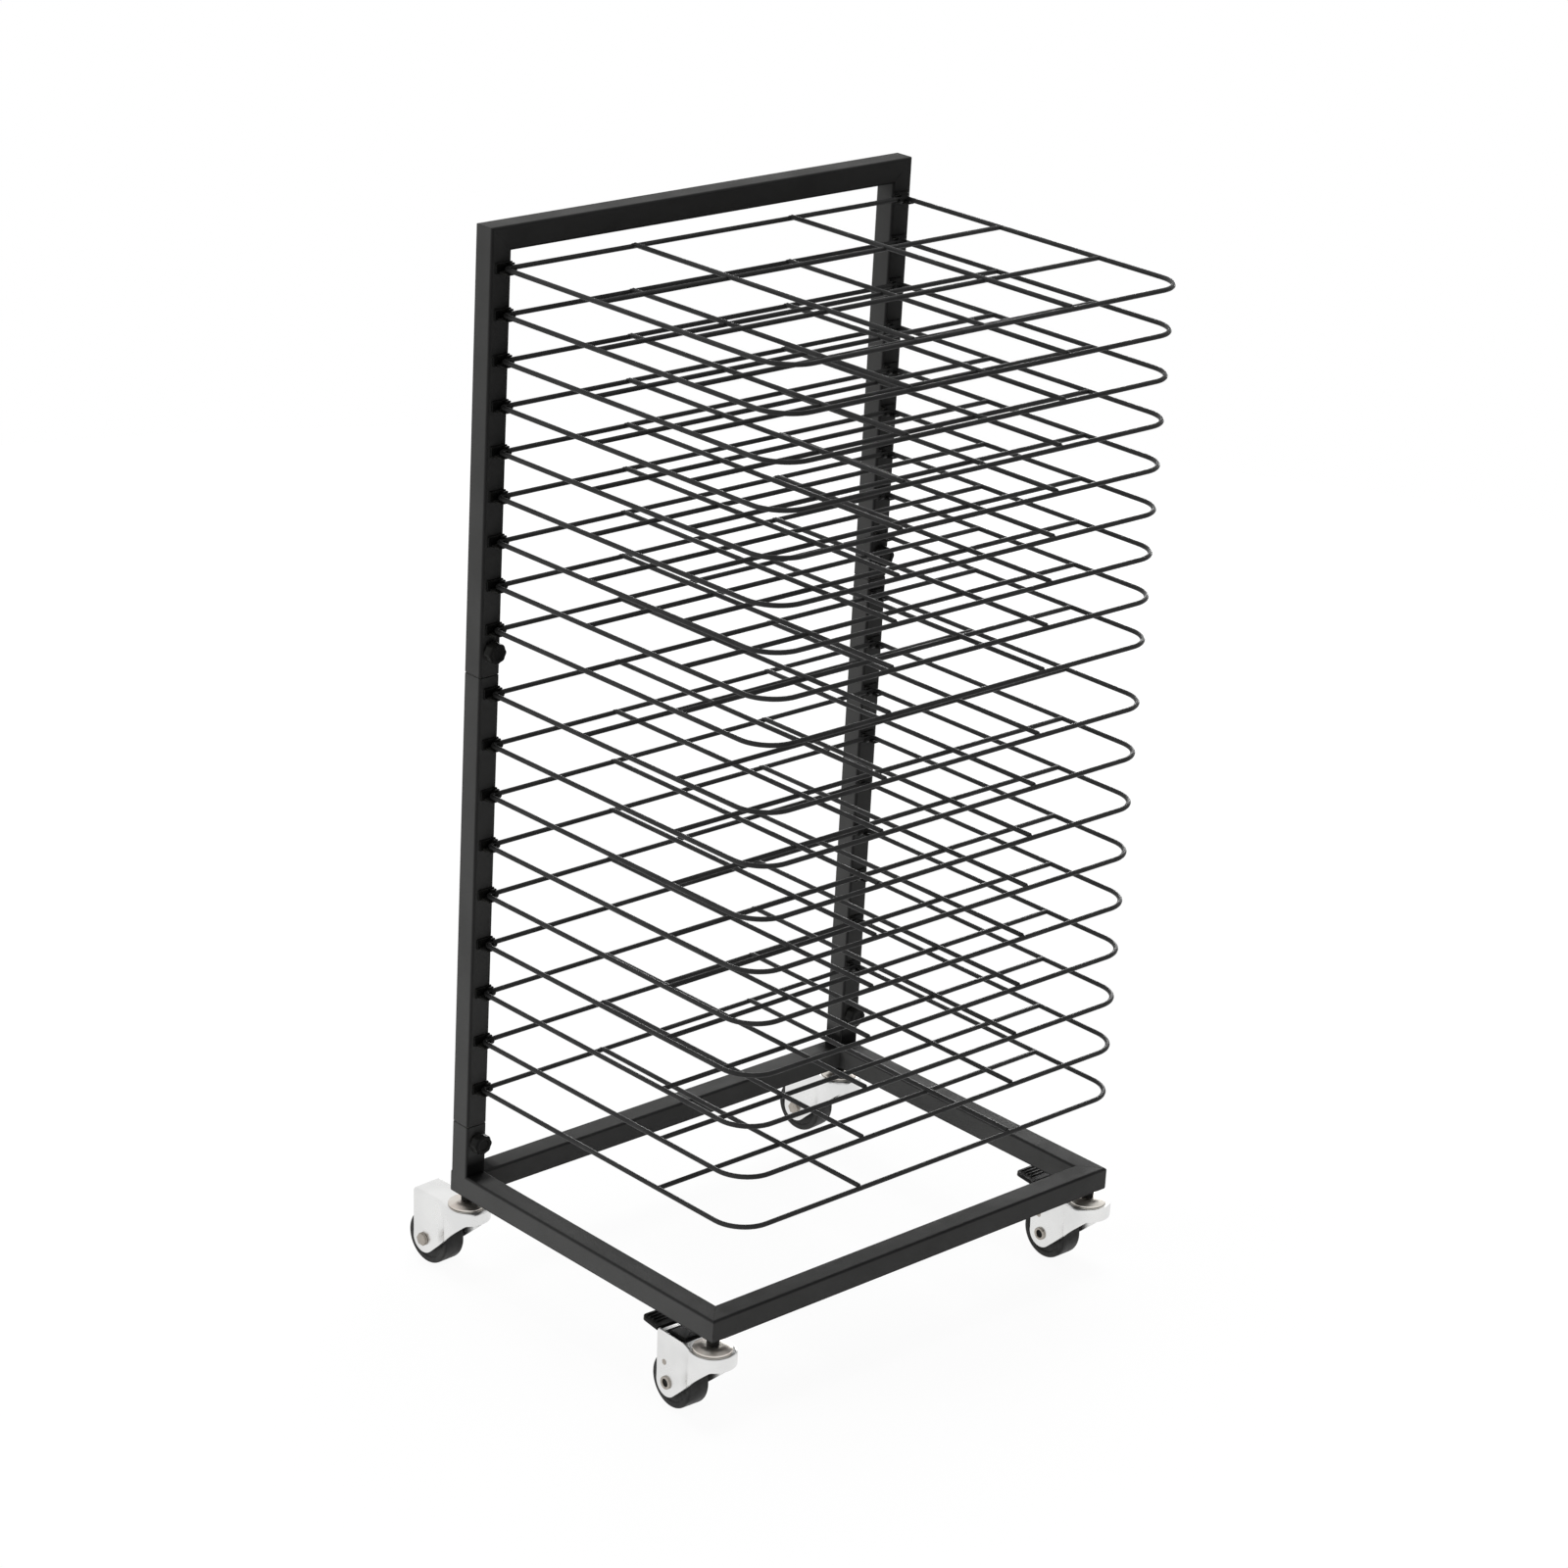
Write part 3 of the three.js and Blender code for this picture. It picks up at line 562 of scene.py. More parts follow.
def fine_relief():
    """Normal of a fine even texture, such as the peel of a coat or the grain of a moulding."""
    group, given, out = new_group("fine_relief", {"Scale": "Float", "Height": "Float"},
                                  {"Normal": "Vector"})
    mask = spots(group, given["Scale"], detail=2.0, low=0.3, high=0.7)
    bump = add(group, "ShaderNodeBump", {"Height": mask, "Distance": given["Height"]})
    group.links.new(bump.outputs["Normal"], out["Normal"])
    return group


def effect(tree, build, inputs):
    """A node group that the finishes share, built when it is first asked for and placed in a material."""
    group = bpy.data.node_groups.get(build.__name__) or build()
    return add(tree, "ShaderNodeGroup", inputs, node_tree=group).outputs


def opaque(colour):
    """A colour with full alpha, as sockets take it."""
    return (*colour, 1.0)


def drifting(tree, name, scale):
    """The colour of one of the finishes, drifting to its second tone."""
    tones = settings().finish
    return effect(tree, tone_drift, {"Color": opaque(getattr(tones, name)),
                                     "Drift": opaque(getattr(tones, f"{name}_drift")),
                                     "Scale": scale})["Color"]


def surface(tree, colour, polished, dull, wear_scale, grain_scale, grain_height, **plain):
    """The Principled shader of a finish. plain holds values that are the same all over, by socket name."""
    shader = next(node for node in tree.nodes if node.type == "BSDF_PRINCIPLED")
    tree.links.new(colour, shader.inputs["Base Color"])
    wear = effect(tree, handling, {"Polished": polished, "Dull": dull, "Scale": wear_scale})
    relief = effect(tree, fine_relief, {"Scale": grain_scale, "Height": grain_height})
    tree.links.new(wear["Roughness"], shader.inputs["Roughness"])
    tree.links.new(relief["Normal"], shader.inputs["Normal"])
    for socket, value in plain.items():
        shader.inputs[socket.replace("_", " ")].default_value = value


def powder_coat(tree):
    """Satin powder coat with a fine peel and painted shade along the tubes' corners and at the posts' feet.
    """
    colour = drifting(tree, "coat", scale=14.0)
    tones = settings().finish
    # Both attributes blend in painted shade: edge along the rounded corners, weld in the corner at a post's
    # foot
    for attribute, full, tone in (("edge", 1.0, tones.coat_edge), ("weld", 0.5, tones.coat_weld)):
        value = add(tree, "ShaderNodeAttribute", attribute_name=attribute).outputs["Fac"]
        colour = blended(tree, spread(tree, value, 0.0, full), colour, opaque(tone))
    surface(tree, colour, polished=0.48, dull=0.62, wear_scale=30.0, grain_scale=1400.0,
            grain_height=0.00006, Specular_IOR_Level=0.02)


def near_clips(tree):
    """Painted shade on the shelves' rear corners, which lie deep in the clips: 1 there, and 0 on the rest."""
    reach = settings().clip.width
    edges = box(SHELVES[0])[1]
    x, y, _ = add(tree, "ShaderNodeSeparateXYZ", {"Vector": place_on(tree)}).outputs
    beside = reckoned(tree, "ABSOLUTE", x)
    masks = [spread(tree, value, edge - reach, edge - reach / 2)
             for value, edge in ((beside, edges[0]), (y, edges[1]))]
    return reckoned(tree, "MULTIPLY", *masks)


def coated_wire(tree):
    """Dip coat on the shelf wires, smoother and glossier than the tubes, with painted shade deep in the
    clips.
    """
    colour = blended(tree, near_clips(tree), drifting(tree, "wire", scale=40.0),
                     opaque(settings().finish.coat_weld))
    surface(tree, colour, polished=0.34, dull=0.5, wear_scale=60.0, grain_scale=900.0,
            grain_height=0.00005, Specular_IOR_Level=0.1)


def black_plastic(tree):
    """Moulded plastic with a fine spark-eroded grain."""
    surface(tree, drifting(tree, "plastic", scale=120.0), polished=0.24, dull=0.36, wear_scale=90.0,
            grain_scale=2600.0, grain_height=0.00002, Specular_IOR_Level=0.06)


def chrome(tree):
    """Bright plated sheet with faint clouding and the slight ripple of pressing."""
    surface(tree, drifting(tree, "plate", scale=25.0), polished=0.26, dull=0.34, wear_scale=40.0,
            grain_scale=300.0, grain_height=0.000002, Metallic=1.0)


def zinc_steel(tree):
    """Zinc plate with small crystalline spangles."""
    cells = add(tree, "ShaderNodeTexVoronoi", {"Vector": place_on(tree), "Scale": 700.0})
    tones = settings().finish
    colour = blended(tree, cells.outputs["Color"], opaque(tones.zinc), opaque(tones.zinc_drift))
    surface(tree, colour, polished=0.28, dull=0.45, wear_scale=200.0, grain_scale=800.0,
            grain_height=0.00002, Metallic=1.0)


def brass_ring(tree):
    """Yellow-passivated steel that shades into rose."""
    surface(tree, drifting(tree, "yellow", scale=60.0), polished=0.3, dull=0.4, wear_scale=60.0,
            grain_scale=300.0, grain_height=0.000002, Metallic=1.0)


def wheel_rubber(tree):
    """Smooth rubber with a little floor dust."""
    surface(tree, drifting(tree, "rubber", scale=70.0), polished=0.45, dull=0.68, wear_scale=80.0,
            grain_scale=1500.0, grain_height=0.00005, Specular_IOR_Level=0.25)


FINISHES = {finish.__name__: finish for finish in (powder_coat, coated_wire, black_plastic, chrome,
                                                   zinc_steel, brass_ring, wheel_rubber)}


def material(name):
    """The material of one of the record's slots, made when it is first asked for."""
    known = bpy.data.materials.get(f"rack_{name}")
    if known:
        return known
    made = bpy.data.materials.new(f"rack_{name}")
    made.use_nodes = True
    FINISHES[name](made.node_tree)
    return made


# Tubes of the base and the back frame

def tube(side, length, ends, stops, sizes):
    """Hollow square tube: a square section with rounded corners, carried from one end to the other outside
    and back inside, with a ring at each stop. A cut end is rounded, and at a mitre each point moves along by
    its distance across. Gives the surface, with (across, beside, along) as its axes, and the share of corner
    rounding at each point."""
    square = side / 2 * np.array([[1, 1], [-1, 1], [-1, -1], [1, -1]])
    outside = soften(square, sizes.corner, CORNER_STEPS)
    inside = soften(square * (1 - 2 * sizes.wall / side), sizes.corner - sizes.wall, CORNER_STEPS)
    drawn_in = outside * (1 - 2 * sizes.cut / side)
    start, end = [drawn_in if made == "cut" else outside for made in ends]
    lead, trail = [sizes.cut if made == "cut" else 0 for made in ends]
    section = np.stack([inside, start, outside, *[outside] * len(stops), outside, end, inside])
    along = np.array([0, 0, lead, *stops, length - trail, length, length])
    lean = np.zeros(len(along))
    lean[:3] = -(ends[0] == "mitre")
    lean[-3:] = ends[1] == "mitre"
    height = along[:, None] + lean[:, None] * section[..., 0]
    # The share of corner rounding also masks the painted shade along the corners
    corner = np.tile(np.sin(np.linspace(0, math.pi, CORNER_STEPS + 1)), len(square))
    edge = np.ones(len(along))
    edge[[0, -1]] = 0
    shape = grid(np.concatenate([section, height[..., None]], -1), wrap_rows=True)
    return shape, np.outer(edge, corner).ravel()


def weld_shade(points, low, high, reach):
    """Painted shade beside the weld at a post's foot: 1 in the corner between the post and the base, less
    with the distance from it, and 0 at the reach. low and high bound the left socket."""
    ahead = low[1] - points[:, 1]
    inward = -high[0] - np.abs(points[:, 0])
    above = points[:, 2] - low[2]
    across = np.maximum(ahead, inward)
    on_base = (np.abs(above) < NEAR) & (across > -NEAR)
    on_post = (np.minimum(np.abs(ahead), np.abs(inward)) < NEAR) & (above > NEAR)
    away = np.where(on_base, across, np.where(on_post, above, reach))
    return np.clip(1 - away / reach, 0, 1)


class RACK_OT_tubes(bpy.types.Operator):
    """Build the square tubes of the base and the back frame"""
    bl_idname = "drying_rack.tubes"
    bl_label = "Tubes"

    def execute(self, context):
        sizes = settings().tube
        foot, shoulder = box("left_post_socket")
        side = shoulder[0] - foot[0]
        inner = np.array([shoulder[0], shoulder[0] + sizes.weld])
        # Where the painted shade at the posts' feet starts and ends, on the tubes along X, Y and Z
        rings = ((*inner, *-inner[::-1]), (foot[1] - sizes.weld, foot[1]),
                 (foot[2], foot[2] + sizes.weld))
        for node, (along, outer, *ends) in TUBES.items():
            low, high = box(node)
            # A mitre turns about the middle of its joint, and a welded foot reaches into the base's rounding
            start = low @ along
            start += {"mitre": side / 2, "weld": -sizes.corner, "cut": 0}[ends[0]]
            length = high @ along - (ends[1] == "mitre") * side / 2 - start
            centre = (high - side / 2) * (1 - along) + start * along
            stops = np.array(rings[along.argmax()]) - start
            stops = stops[(stops > sizes.cut) & (stops < length - sizes.cut)]
            shape, edge = tube(side, length, ends, stops, sizes)
            axes = np.stack([outer, np.cross(along, outer), along])
            shape = moved(shape, centre, axes)
            # edge and weld are masks of painted shade: along the rounded corners, and in the corner at each
            # post's foot
            tones = {"edge": edge, "weld": weld_shade(shape[0], foot, shoulder, sizes.weld)}
            piece = add_piece(f"{node}_tube", shape, "powder_coat", "rack", [node], tones=tones)
            keep_flats(piece)
        return {"FINISHED"}


class RACK_OT_sleeves(bpy.types.Operator):
    """Finish the plug sleeves inside the posts"""
    bl_idname = "drying_rack.sleeves"
    bl_label = "Plug sleeves"

    def execute(self, context):
        for node in SLEEVES:
            slots = frame["nodes"][node].data.materials
            slots.clear()
            slots.append(material("zinc_steel"))
        return {"FINISHED"}


# Wire shelves

def shelf_rim(half_width, depth, sizes):
    """Closed wire round a rectangle with round corners. Along a corner n turns through a right angle, the
    wire's centre is the corner's centre + R n, and its surface is that + r cos b n + r sin b Z."""
    rear, front = sizes.rear_corner, sizes.front_corner
    radius = np.array([rear, rear, front, front])
    middle = np.stack([np.array([1, -1, -1, 1]) * (half_width - radius),
                       np.array([0, 0, -depth, -depth]) + np.array([-1, -1, 1, 1]) * radius], -1)
    angle = np.arange(4)[:, None] * math.pi / 2 + np.linspace(0, math.pi / 2, 2 * CORNER_STEPS + 1)
    outward = polar(1.0, angle)
    centre = (middle[:, None] + radius[:, None, None] * outward).reshape(-1, 2)
    outward = outward.reshape(-1, 2)
    round_wire = sizes.wire / 2 * circle(WIRE_SIDES)
    flat = centre[:, None] + round_wire[None, :, :1] * outward[:, None]
    height = np.broadcast_to(round_wire[None, :, 1:], (*flat.shape[:2], 1))
    return grid(np.concatenate([flat, height], -1), wrap_rows=True)


def shelf_surface(half_width, depth, crosses, sizes):
    """One shelf with its rear wire along X through the origin: the rim, cross wires in its plane, two
    front-to-back wires on top, and a weld nugget at each crossing. crosses holds the cross wires' places
    along Y."""
    radius = sizes.wire / 2
    rise = sizes.wire - sizes.sink
    longs = (-sizes.spacing / 2, sizes.spacing / 2)
    parts = [shelf_rim(half_width, depth, sizes)]
    parts += [wire((-half_width, y, 0), (half_width, y, 0), radius) for y in crosses]
    parts += [wire((x, -radius, rise), (x, radius - depth, rise), radius) for x in longs]
    reach = np.array([sizes.nugget, sizes.nugget, sizes.nugget_rise])
    parts += [nugget((x, y, rise / 2), reach) for x in longs for y in (0, -depth, *crosses)]
    ends = (radius / 2 - half_width, half_width - radius / 2)
    parts += [nugget((x, y, 0), reach) for x in ends for y in crosses]
    return combined(parts)


class RACK_OT_shelves(bpy.types.Operator):
    """Build the hinged wire shelves"""
    bl_idname = "drying_rack.shelves"
    bl_label = "Wire shelves"

    def execute(self, context):
        sizes = settings().shelf
        low, high = box(SHELVES[0])
        hinge = joint_place(f"{SHELVES[0]}_flip")
        half_width = high[0] - sizes.wire / 2
        depth = hinge[1] - low[1] - sizes.wire / 2
        crosses = (-sizes.front_cross, -sizes.rear_cross)
        plain = shelf_surface(half_width, depth, crosses[:1], sizes)
        full = shelf_surface(half_width, depth, crosses, sizes)
        for number, shelf in enumerate(SHELVES):
            shape = moved(plain if number < sizes.plain else full, joint_place(f"{shelf}_flip"))
            add_piece(f"{shelf}_wires", shape, "coated_wire", shelf, [shelf])
        return {"FINISHED"}


# Shelf clips

def clip_surface(inward, standoff, post_half, wire_radius, rear_corner, sizes):
    """One clip, with the rear wire along X through the origin: a pad on the post, a hook round the wire and
    a tapered ledge below the side wire. Each is an outline of (y, z) points carried along X."""
    bore = wire_radius + sizes.clearance
    half = sizes.height / 2
    front = standoff - sizes.wall
    pad = [(standoff, -half), (standoff, half), (front, half), (front, -half)]
    ledge = [(standoff, -half), (standoff, -bore), (-sizes.ledge_reach, -bore),
             (-sizes.ledge_reach, -bore - sizes.ledge_tip)]
    sweep = np.linspace(sizes.mouth_end, sizes.mouth_start + 2 * math.pi, 3 * CORNER_STEPS)
    hook = np.concatenate([polar(bore + sizes.wall, sweep), polar(bore, sweep[::-1])])
    pad_end = post_half - sizes.clearance
    hook_start = rear_corner + sizes.clearance
    spans = [(np.array(pad), pad_end - sizes.width, pad_end),
             (hook, hook_start, hook_start + sizes.hook_width),
             (np.array(ledge), -sizes.ledge_width / 2, sizes.ledge_width / 2)]
    axes = np.stack([Y, Z, X])
    return combined([prism(outline, inward * start, inward * end, axes) for outline, start, end in spans])


class RACK_OT_clips(bpy.types.Operator):
    """Build the moulded clips that hold the shelves on the posts"""
    bl_idname = "drying_rack.clips"
    bl_label = "Shelf clips"

    def execute(self, context):
        rack = settings()
        for side, sign in SIDES.items():
            socket_low, socket_high = box(f"{side}_post_socket")
            post_x = (socket_low[0] + socket_high[0]) / 2
            for storey in ("lower", "upper"):
                post = f"{side}_{storey}_post"
                low, high = box(post)
                hinges = np.array([joint_place(f"{shelf}_flip") for shelf in SHELVES])
                hinges = hinges[(hinges[:, 2] > low[2]) & (hinges[:, 2] < high[2])]
                clip = clip_surface(-sign, socket_low[1] - hinges[0, 1], socket_high[0] - post_x,
                                    rack.shelf.wire / 2, rack.shelf.rear_corner, rack.clip)
                places = hinges * (0, 1, 1) + post_x * X
                shape = combined([moved(clip, place) for place in places])
                piece = add_piece(f"{side}_{storey}_clips", shape, "black_plastic", "rack", [post])
                round_edges(piece, rack.clip.rounding)
        return {"FINISHED"}


# Clamping knobs

def knob_surface(sizes, screw_depth):
    """A turned head on a boss and a screw. Past the boss the radius loses the scallop times
    (1 - cos(lobes a)) / 2, in step with how far out the point lies. Height is measured out of the post."""
    rim, boss, well = sizes.diameter / 2, sizes.boss / 2, sizes.well / 2
    face = sizes.boss_depth + sizes.depth
    profile = soften([(0, face - sizes.dish), (well, face - sizes.dish), (well + sizes.dish / 2, face),
                      (rim, face), (rim, sizes.boss_depth), (boss, sizes.boss_depth), (boss, 0),
                      (sizes.screw / 2, 0), (sizes.screw / 2, -screw_depth), (0, -screw_depth)],
                     sizes.rounding, CORNER_STEPS, closed=False)
    outness = np.clip((profile[:, :1] - boss) / (rim - boss), 0, 1)
    hollow = sizes.scallop * (1 - np.cos(sizes.lobes * even_turn(TURN_STEPS))) / 2
    return turned(profile, TURN_STEPS, drawn_in=outness * hollow)


class RACK_OT_knobs(bpy.types.Operator):
    """Build the clamping knobs at the seams of the posts"""
    bl_idname = "drying_rack.knobs"
    bl_label = "Clamping knobs"

    def execute(self, context):
        axes = np.stack([X, Z, -Y])
        for knob in KNOBS:
            seat = joint_place(f"{knob}_turn")
            shape = knob_surface(settings().knob, box(knob)[1][1] - seat[1])
            add_piece(f"{knob}_grip", moved(shape, seat, axes), "black_plastic", knob, [knob])
        return {"FINISHED"}


# Casters. Their pieces share one frame: x the way the wheel trails, y along the axle, z up, from the point
# where the swivel axis leaves the base.

def caster_frame(caster):
    """Pivot and axes of a caster, and its axle's place in that frame, from the joints."""
    pivot = joint_place(f"{caster}_swivel_turn")
    hub = joint_place(f"{caster}_wheel_roll") - pivot
    along = hub * (1, 1, 0)
    along /= np.linalg.norm(along)
    axes = np.stack([along, np.cross(Z, along), Z])
    return pivot, axes, axes @ hub


def wheel_radius(caster):
    """Half the height of a caster's wheel."""
    low, high = box(f"{caster}_caster_wheel")
    return (high[2] - low[2]) / 2


def stem_surface(foot, top, sizes):
    """Turned stem: a shank in the base, a collar below it and a head under the fork's roof."""
    head, shank, collar = sizes.stem_head / 2, sizes.shank / 2, sizes.collar / 2
    head_top = foot + sizes.stem_head_height
    collar_foot = -sizes.gap - sizes.collar_height
    profile = [(0, foot), (head, foot), (head, head_top), (shank, head_top), (shank, collar_foot),
               (collar, collar_foot), (collar, -sizes.gap), (shank, -sizes.gap), (shank, top), (0, top)]
    return turned(soften(profile, sizes.stem_edge, CORNER_STEPS, closed=False), SMALL_TURN_STEPS)


def ring_surface(foot, top, sizes):
    """Turned bearing ring: a low rim, then a dome up to a flat crown."""
    inside, outside = sizes.shank / 2 + sizes.gap, sizes.ring / 2
    profile = [(inside, foot), (outside, foot), (outside, foot + sizes.ring_rim), (sizes.ring_crown / 2, top),
               (inside, top)]
    cuts = sizes.ring_rim * np.array(RING_CUTS)
    return turned(soften(profile, cuts, 2 * CORNER_STEPS), TURN_STEPS, wrap=True)


def lower_edge(x, top, hub, sizes):
    """Height of the fork's lower edge: level at the nose, then straight down to the round tip."""
    foot = top - sizes.nose_depth
    tip = hub[[0, 2]] + polar(sizes.tip, sizes.tip_end)
    return foot + np.maximum(x + sizes.nose_reach, 0) * (tip[1] - foot) / (tip[0] + sizes.nose_reach)


def fork_plan(sizes):
    """Half the fork's plan, from the end of a cheek to the middle of the nose: its straight columns, those
    round the crease and those round the nose, the outward normal of each, where each meets the middle of
    the roof, and how many are straight."""
    stops = (sizes.bridge_end, sizes.window_end)
    even = np.linspace(sizes.taper + sizes.crease, sizes.length, CHEEK_COLUMNS)
    x = np.unique(np.append(even, stops))[:0:-1]
    straight = np.stack([x, np.full(len(x), sizes.cheek)], -1)
    angle = np.linspace(sizes.nose_spread, math.pi, 4 * CORNER_STEPS)
    nose = polar(sizes.nose, angle)
    crease = soften([straight[0], (sizes.taper, sizes.cheek), nose[0]], sizes.crease, CREASE_STEPS,
                    closed=False)[1:-1]
    plan = np.concatenate([straight, crease, nose])
    way = np.gradient(plan, axis=0)
    outward = np.stack([way[:, 1], -way[:, 0]], -1) / np.linalg.norm(way, axis=-1, keepdims=True)
    outward[-1] = -1, 0
    hole = sizes.shank / 2 + sizes.gap
    middle = np.concatenate([np.concatenate([straight, crease]) * (1, 0), polar(hole, angle)])
    middle[-len(nose) - 1] = hole, 0
    return plan, outward, middle, len(straight)


def fork_surface(top, hub, braked, sizes):
    """Outer skin of the pressed fork, column by column round its plan: from the end of one cheek, past the
    nose, to the end of the other. A column rises from the lower edge, turns over the bend by a quarter
    circle and runs in to the middle of the roof. A braked fork's roof has a window and stops short."""
    shoulder = top - sizes.bend
    plan, outward, middle, straight = fork_plan(sizes)
    foot = np.stack([plan[:, 0], lower_edge(plan[:, 0], top, hub, sizes)], -1)
    on_tip = straight - LEVEL_COLUMNS
    foot[:on_tip] = hub[[0, 2]] + polar(sizes.tip, np.linspace(sizes.tip_start, sizes.tip_end, on_tip))

    flat = np.zeros((len(plan), 1))
    rise = np.linspace(0, 1, CORNER_STEPS)[:, None, None]
    low = np.stack([foot[:, 0], plan[:, 1], foot[:, 1]], -1)
    high = np.concatenate([plan, flat + shoulder], -1)
    wall = low + rise * (high - low)
    turn_over = np.linspace(0, math.pi / 2, 2 * CORNER_STEPS)[1:, None, None]
    level = np.concatenate([outward, flat], -1)
    bend = high - sizes.bend * (1 - np.cos(turn_over)) * level + sizes.bend * np.sin(turn_over) * Z
    inward = np.linspace(0, 1, CORNER_STEPS)[1:, None, None]
    centre = np.concatenate([middle, flat + top], -1)
    roof = bend[-1] + inward * (centre - bend[-1])
    half = np.concatenate([wall, bend, roof])
    skin = np.concatenate([half, (half * (1, -1, 1))[:, -2::-1]], 1)
    points, quads, caps = grid(skin, wrap_columns=False)
    if braked:
        x = (plan[1:, 0] + plan[:-1, 0]) / 2
        opened = (x > sizes.bridge_end) | ((x > sizes.window_start) & (x < sizes.window_end))
        opened = np.concatenate([opened, opened[::-1]])
        kept = np.ones((len(skin) - 1, len(opened)), bool)
        kept[len(wall) + len(bend) - 1:, opened] = False
        quads = quads[kept.ravel()]
    return points, quads, caps


def wheel_surface(radius, sizes):
    """Turned wheel: a bored hub, dished sides and a tyre with round shoulders. Heights are along the axle."""
    edge = sizes.wheel_width / 2
    hub_edge = edge + sizes.hub_step
    dish = edge - sizes.dish
    rim = radius - sizes.rim
    bore = sizes.axle / 2 + sizes.gap
    side = np.array([(bore, hub_edge), (sizes.hub / 2, hub_edge), (sizes.hub / 2, dish),
                     (rim - sizes.dish, dish), (rim - sizes.dish / 2, edge - sizes.hub_step), (radius, edge)])
    cuts = np.array([sizes.wheel_edge / 2, *[sizes.wheel_edge] * 4, sizes.shoulder])
    profile = soften(np.concatenate([side * (1, -1), side[::-1]]), np.concatenate([cuts, cuts[::-1]]),
                     CORNER_STEPS)
    return turned(profile, TURN_STEPS, wrap=True, axes=np.stack([Z, X, Y]))


def hex_head(seat, height, diameter):
    """Hexagonal bolt head on a washer, standing on the XY plane at the seat's height: a six-sided turned
    profile with a chamfer, over a round one."""
    radius, washer = diameter / 2, height / 4
    chamfer = height / 5
    head = [(0, seat + height), (radius - 2 * chamfer, seat + height), (radius, seat + height - chamfer),
            (radius, seat + washer), (0, seat + washer)]
    plate = soften([(0, seat), (radius, seat), (radius, seat + washer), (0, seat + washer)], washer / 2,
                   CORNER_STEPS, closed=False)
    return combined([turned(head, HEX_SIDES), turned(plate, SMALL_TURN_STEPS)])


def hollow_head(seat, height, diameter, bore):
    """Rolled head of a hollow rivet: a turned bead round an open bore."""
    radius, inside = diameter / 2, bore / 2
    profile = [(inside, seat - height), (inside, seat + height / 2), (radius, seat + height / 2),
               (radius, seat), (inside + height / 4, seat - height)]
    return turned(soften(profile, height / 3, CORNER_STEPS), SMALL_TURN_STEPS, wrap=True)


def domed_head(seat, height, diameter):
    """Domed rivet head: at angle a its radius goes with the sine and its height with the cosine."""
    angle = np.linspace(0, math.pi / 2, CORNER_STEPS)
    dome = np.stack([diameter / 2 * np.sin(angle), seat + height * np.cos(angle)], -1)
    foot = [(diameter / 2, seat - height), (0, seat - height)]
    return turned(np.concatenate([dome, foot]), SMALL_TURN_STEPS)


def both_sides(head):
    """A head made on the third axis, put on both ends of the Y axis."""
    return [moved(head, (0, 0, 0), np.stack([X, Z, side * Y])) for side in (-1, 1)]


def axle_surface(braked, sizes):
    """The axle's shaft and two heads, along Y: hollow rivets on braked casters and bolts on the others."""
    seat = sizes.cheek + sizes.gap
    if braked:
        head = hollow_head(seat, sizes.axle_head_height, sizes.axle_head, sizes.axle_bore)
    else:
        head = hex_head(seat, sizes.axle_head_height, sizes.axle_head)
    reach = sizes.cheek - sizes.sheet
    return combined([cross_bar(reach, sizes.axle), *both_sides(head)])


class RACK_OT_stems(bpy.types.Operator):
    """Build the stems and bearing rings of the casters"""
    bl_idname = "drying_rack.stems"
    bl_label = "Caster stems and rings"

    def execute(self, context):
        sizes = settings().caster
        for caster in CASTERS:
            pivot, axes, _ = caster_frame(caster)
            for part, build, finish, body in (("stem", stem_surface, "black_plastic", "rack"),
                                              ("ring", ring_surface, "brass_ring", f"{caster}_swivel")):
                node = f"{caster}_caster_{part}"
                low, high = box(node)
                shape = build(low[2] - pivot[2], high[2] - pivot[2], sizes)
                add_piece(f"{node}_turned", moved(shape, pivot, axes), finish, body, [node])
        return {"FINISHED"}


class RACK_OT_forks(bpy.types.Operator):
    """Build the pressed forks of the casters"""
    bl_idname = "drying_rack.forks"
    bl_label = "Caster forks"

    def execute(self, context):
        sizes = settings().caster
        for caster in CASTERS:
            pivot, axes, hub = caster_frame(caster)
            node = f"{caster}_caster_fork"
            shape = fork_surface(box(node)[1][2] - pivot[2], hub, caster in BRAKED, sizes)
            piece = add_piece(f"{node}_sheet", moved(shape, pivot, axes), "chrome", f"{caster}_swivel",
                              [node], closed=False)
            sheet = piece.modifiers.new("Sheet", "SOLIDIFY")
            sheet.thickness = sizes.sheet
            sheet.offset = -1
            round_edges(piece, sizes.sheet_edge)
            if caster in BRAKED:
                place = hub + sizes.rivet_back * X + sizes.rivet_rise * Z
                heads = both_sides(domed_head(sizes.cheek, sizes.rivet_height, sizes.rivet))
                add_piece(f"{node}_rivets", moved(combined(heads), pivot + place @ axes, axes), "zinc_steel",
                          f"{caster}_swivel", [node])
        return {"FINISHED"}


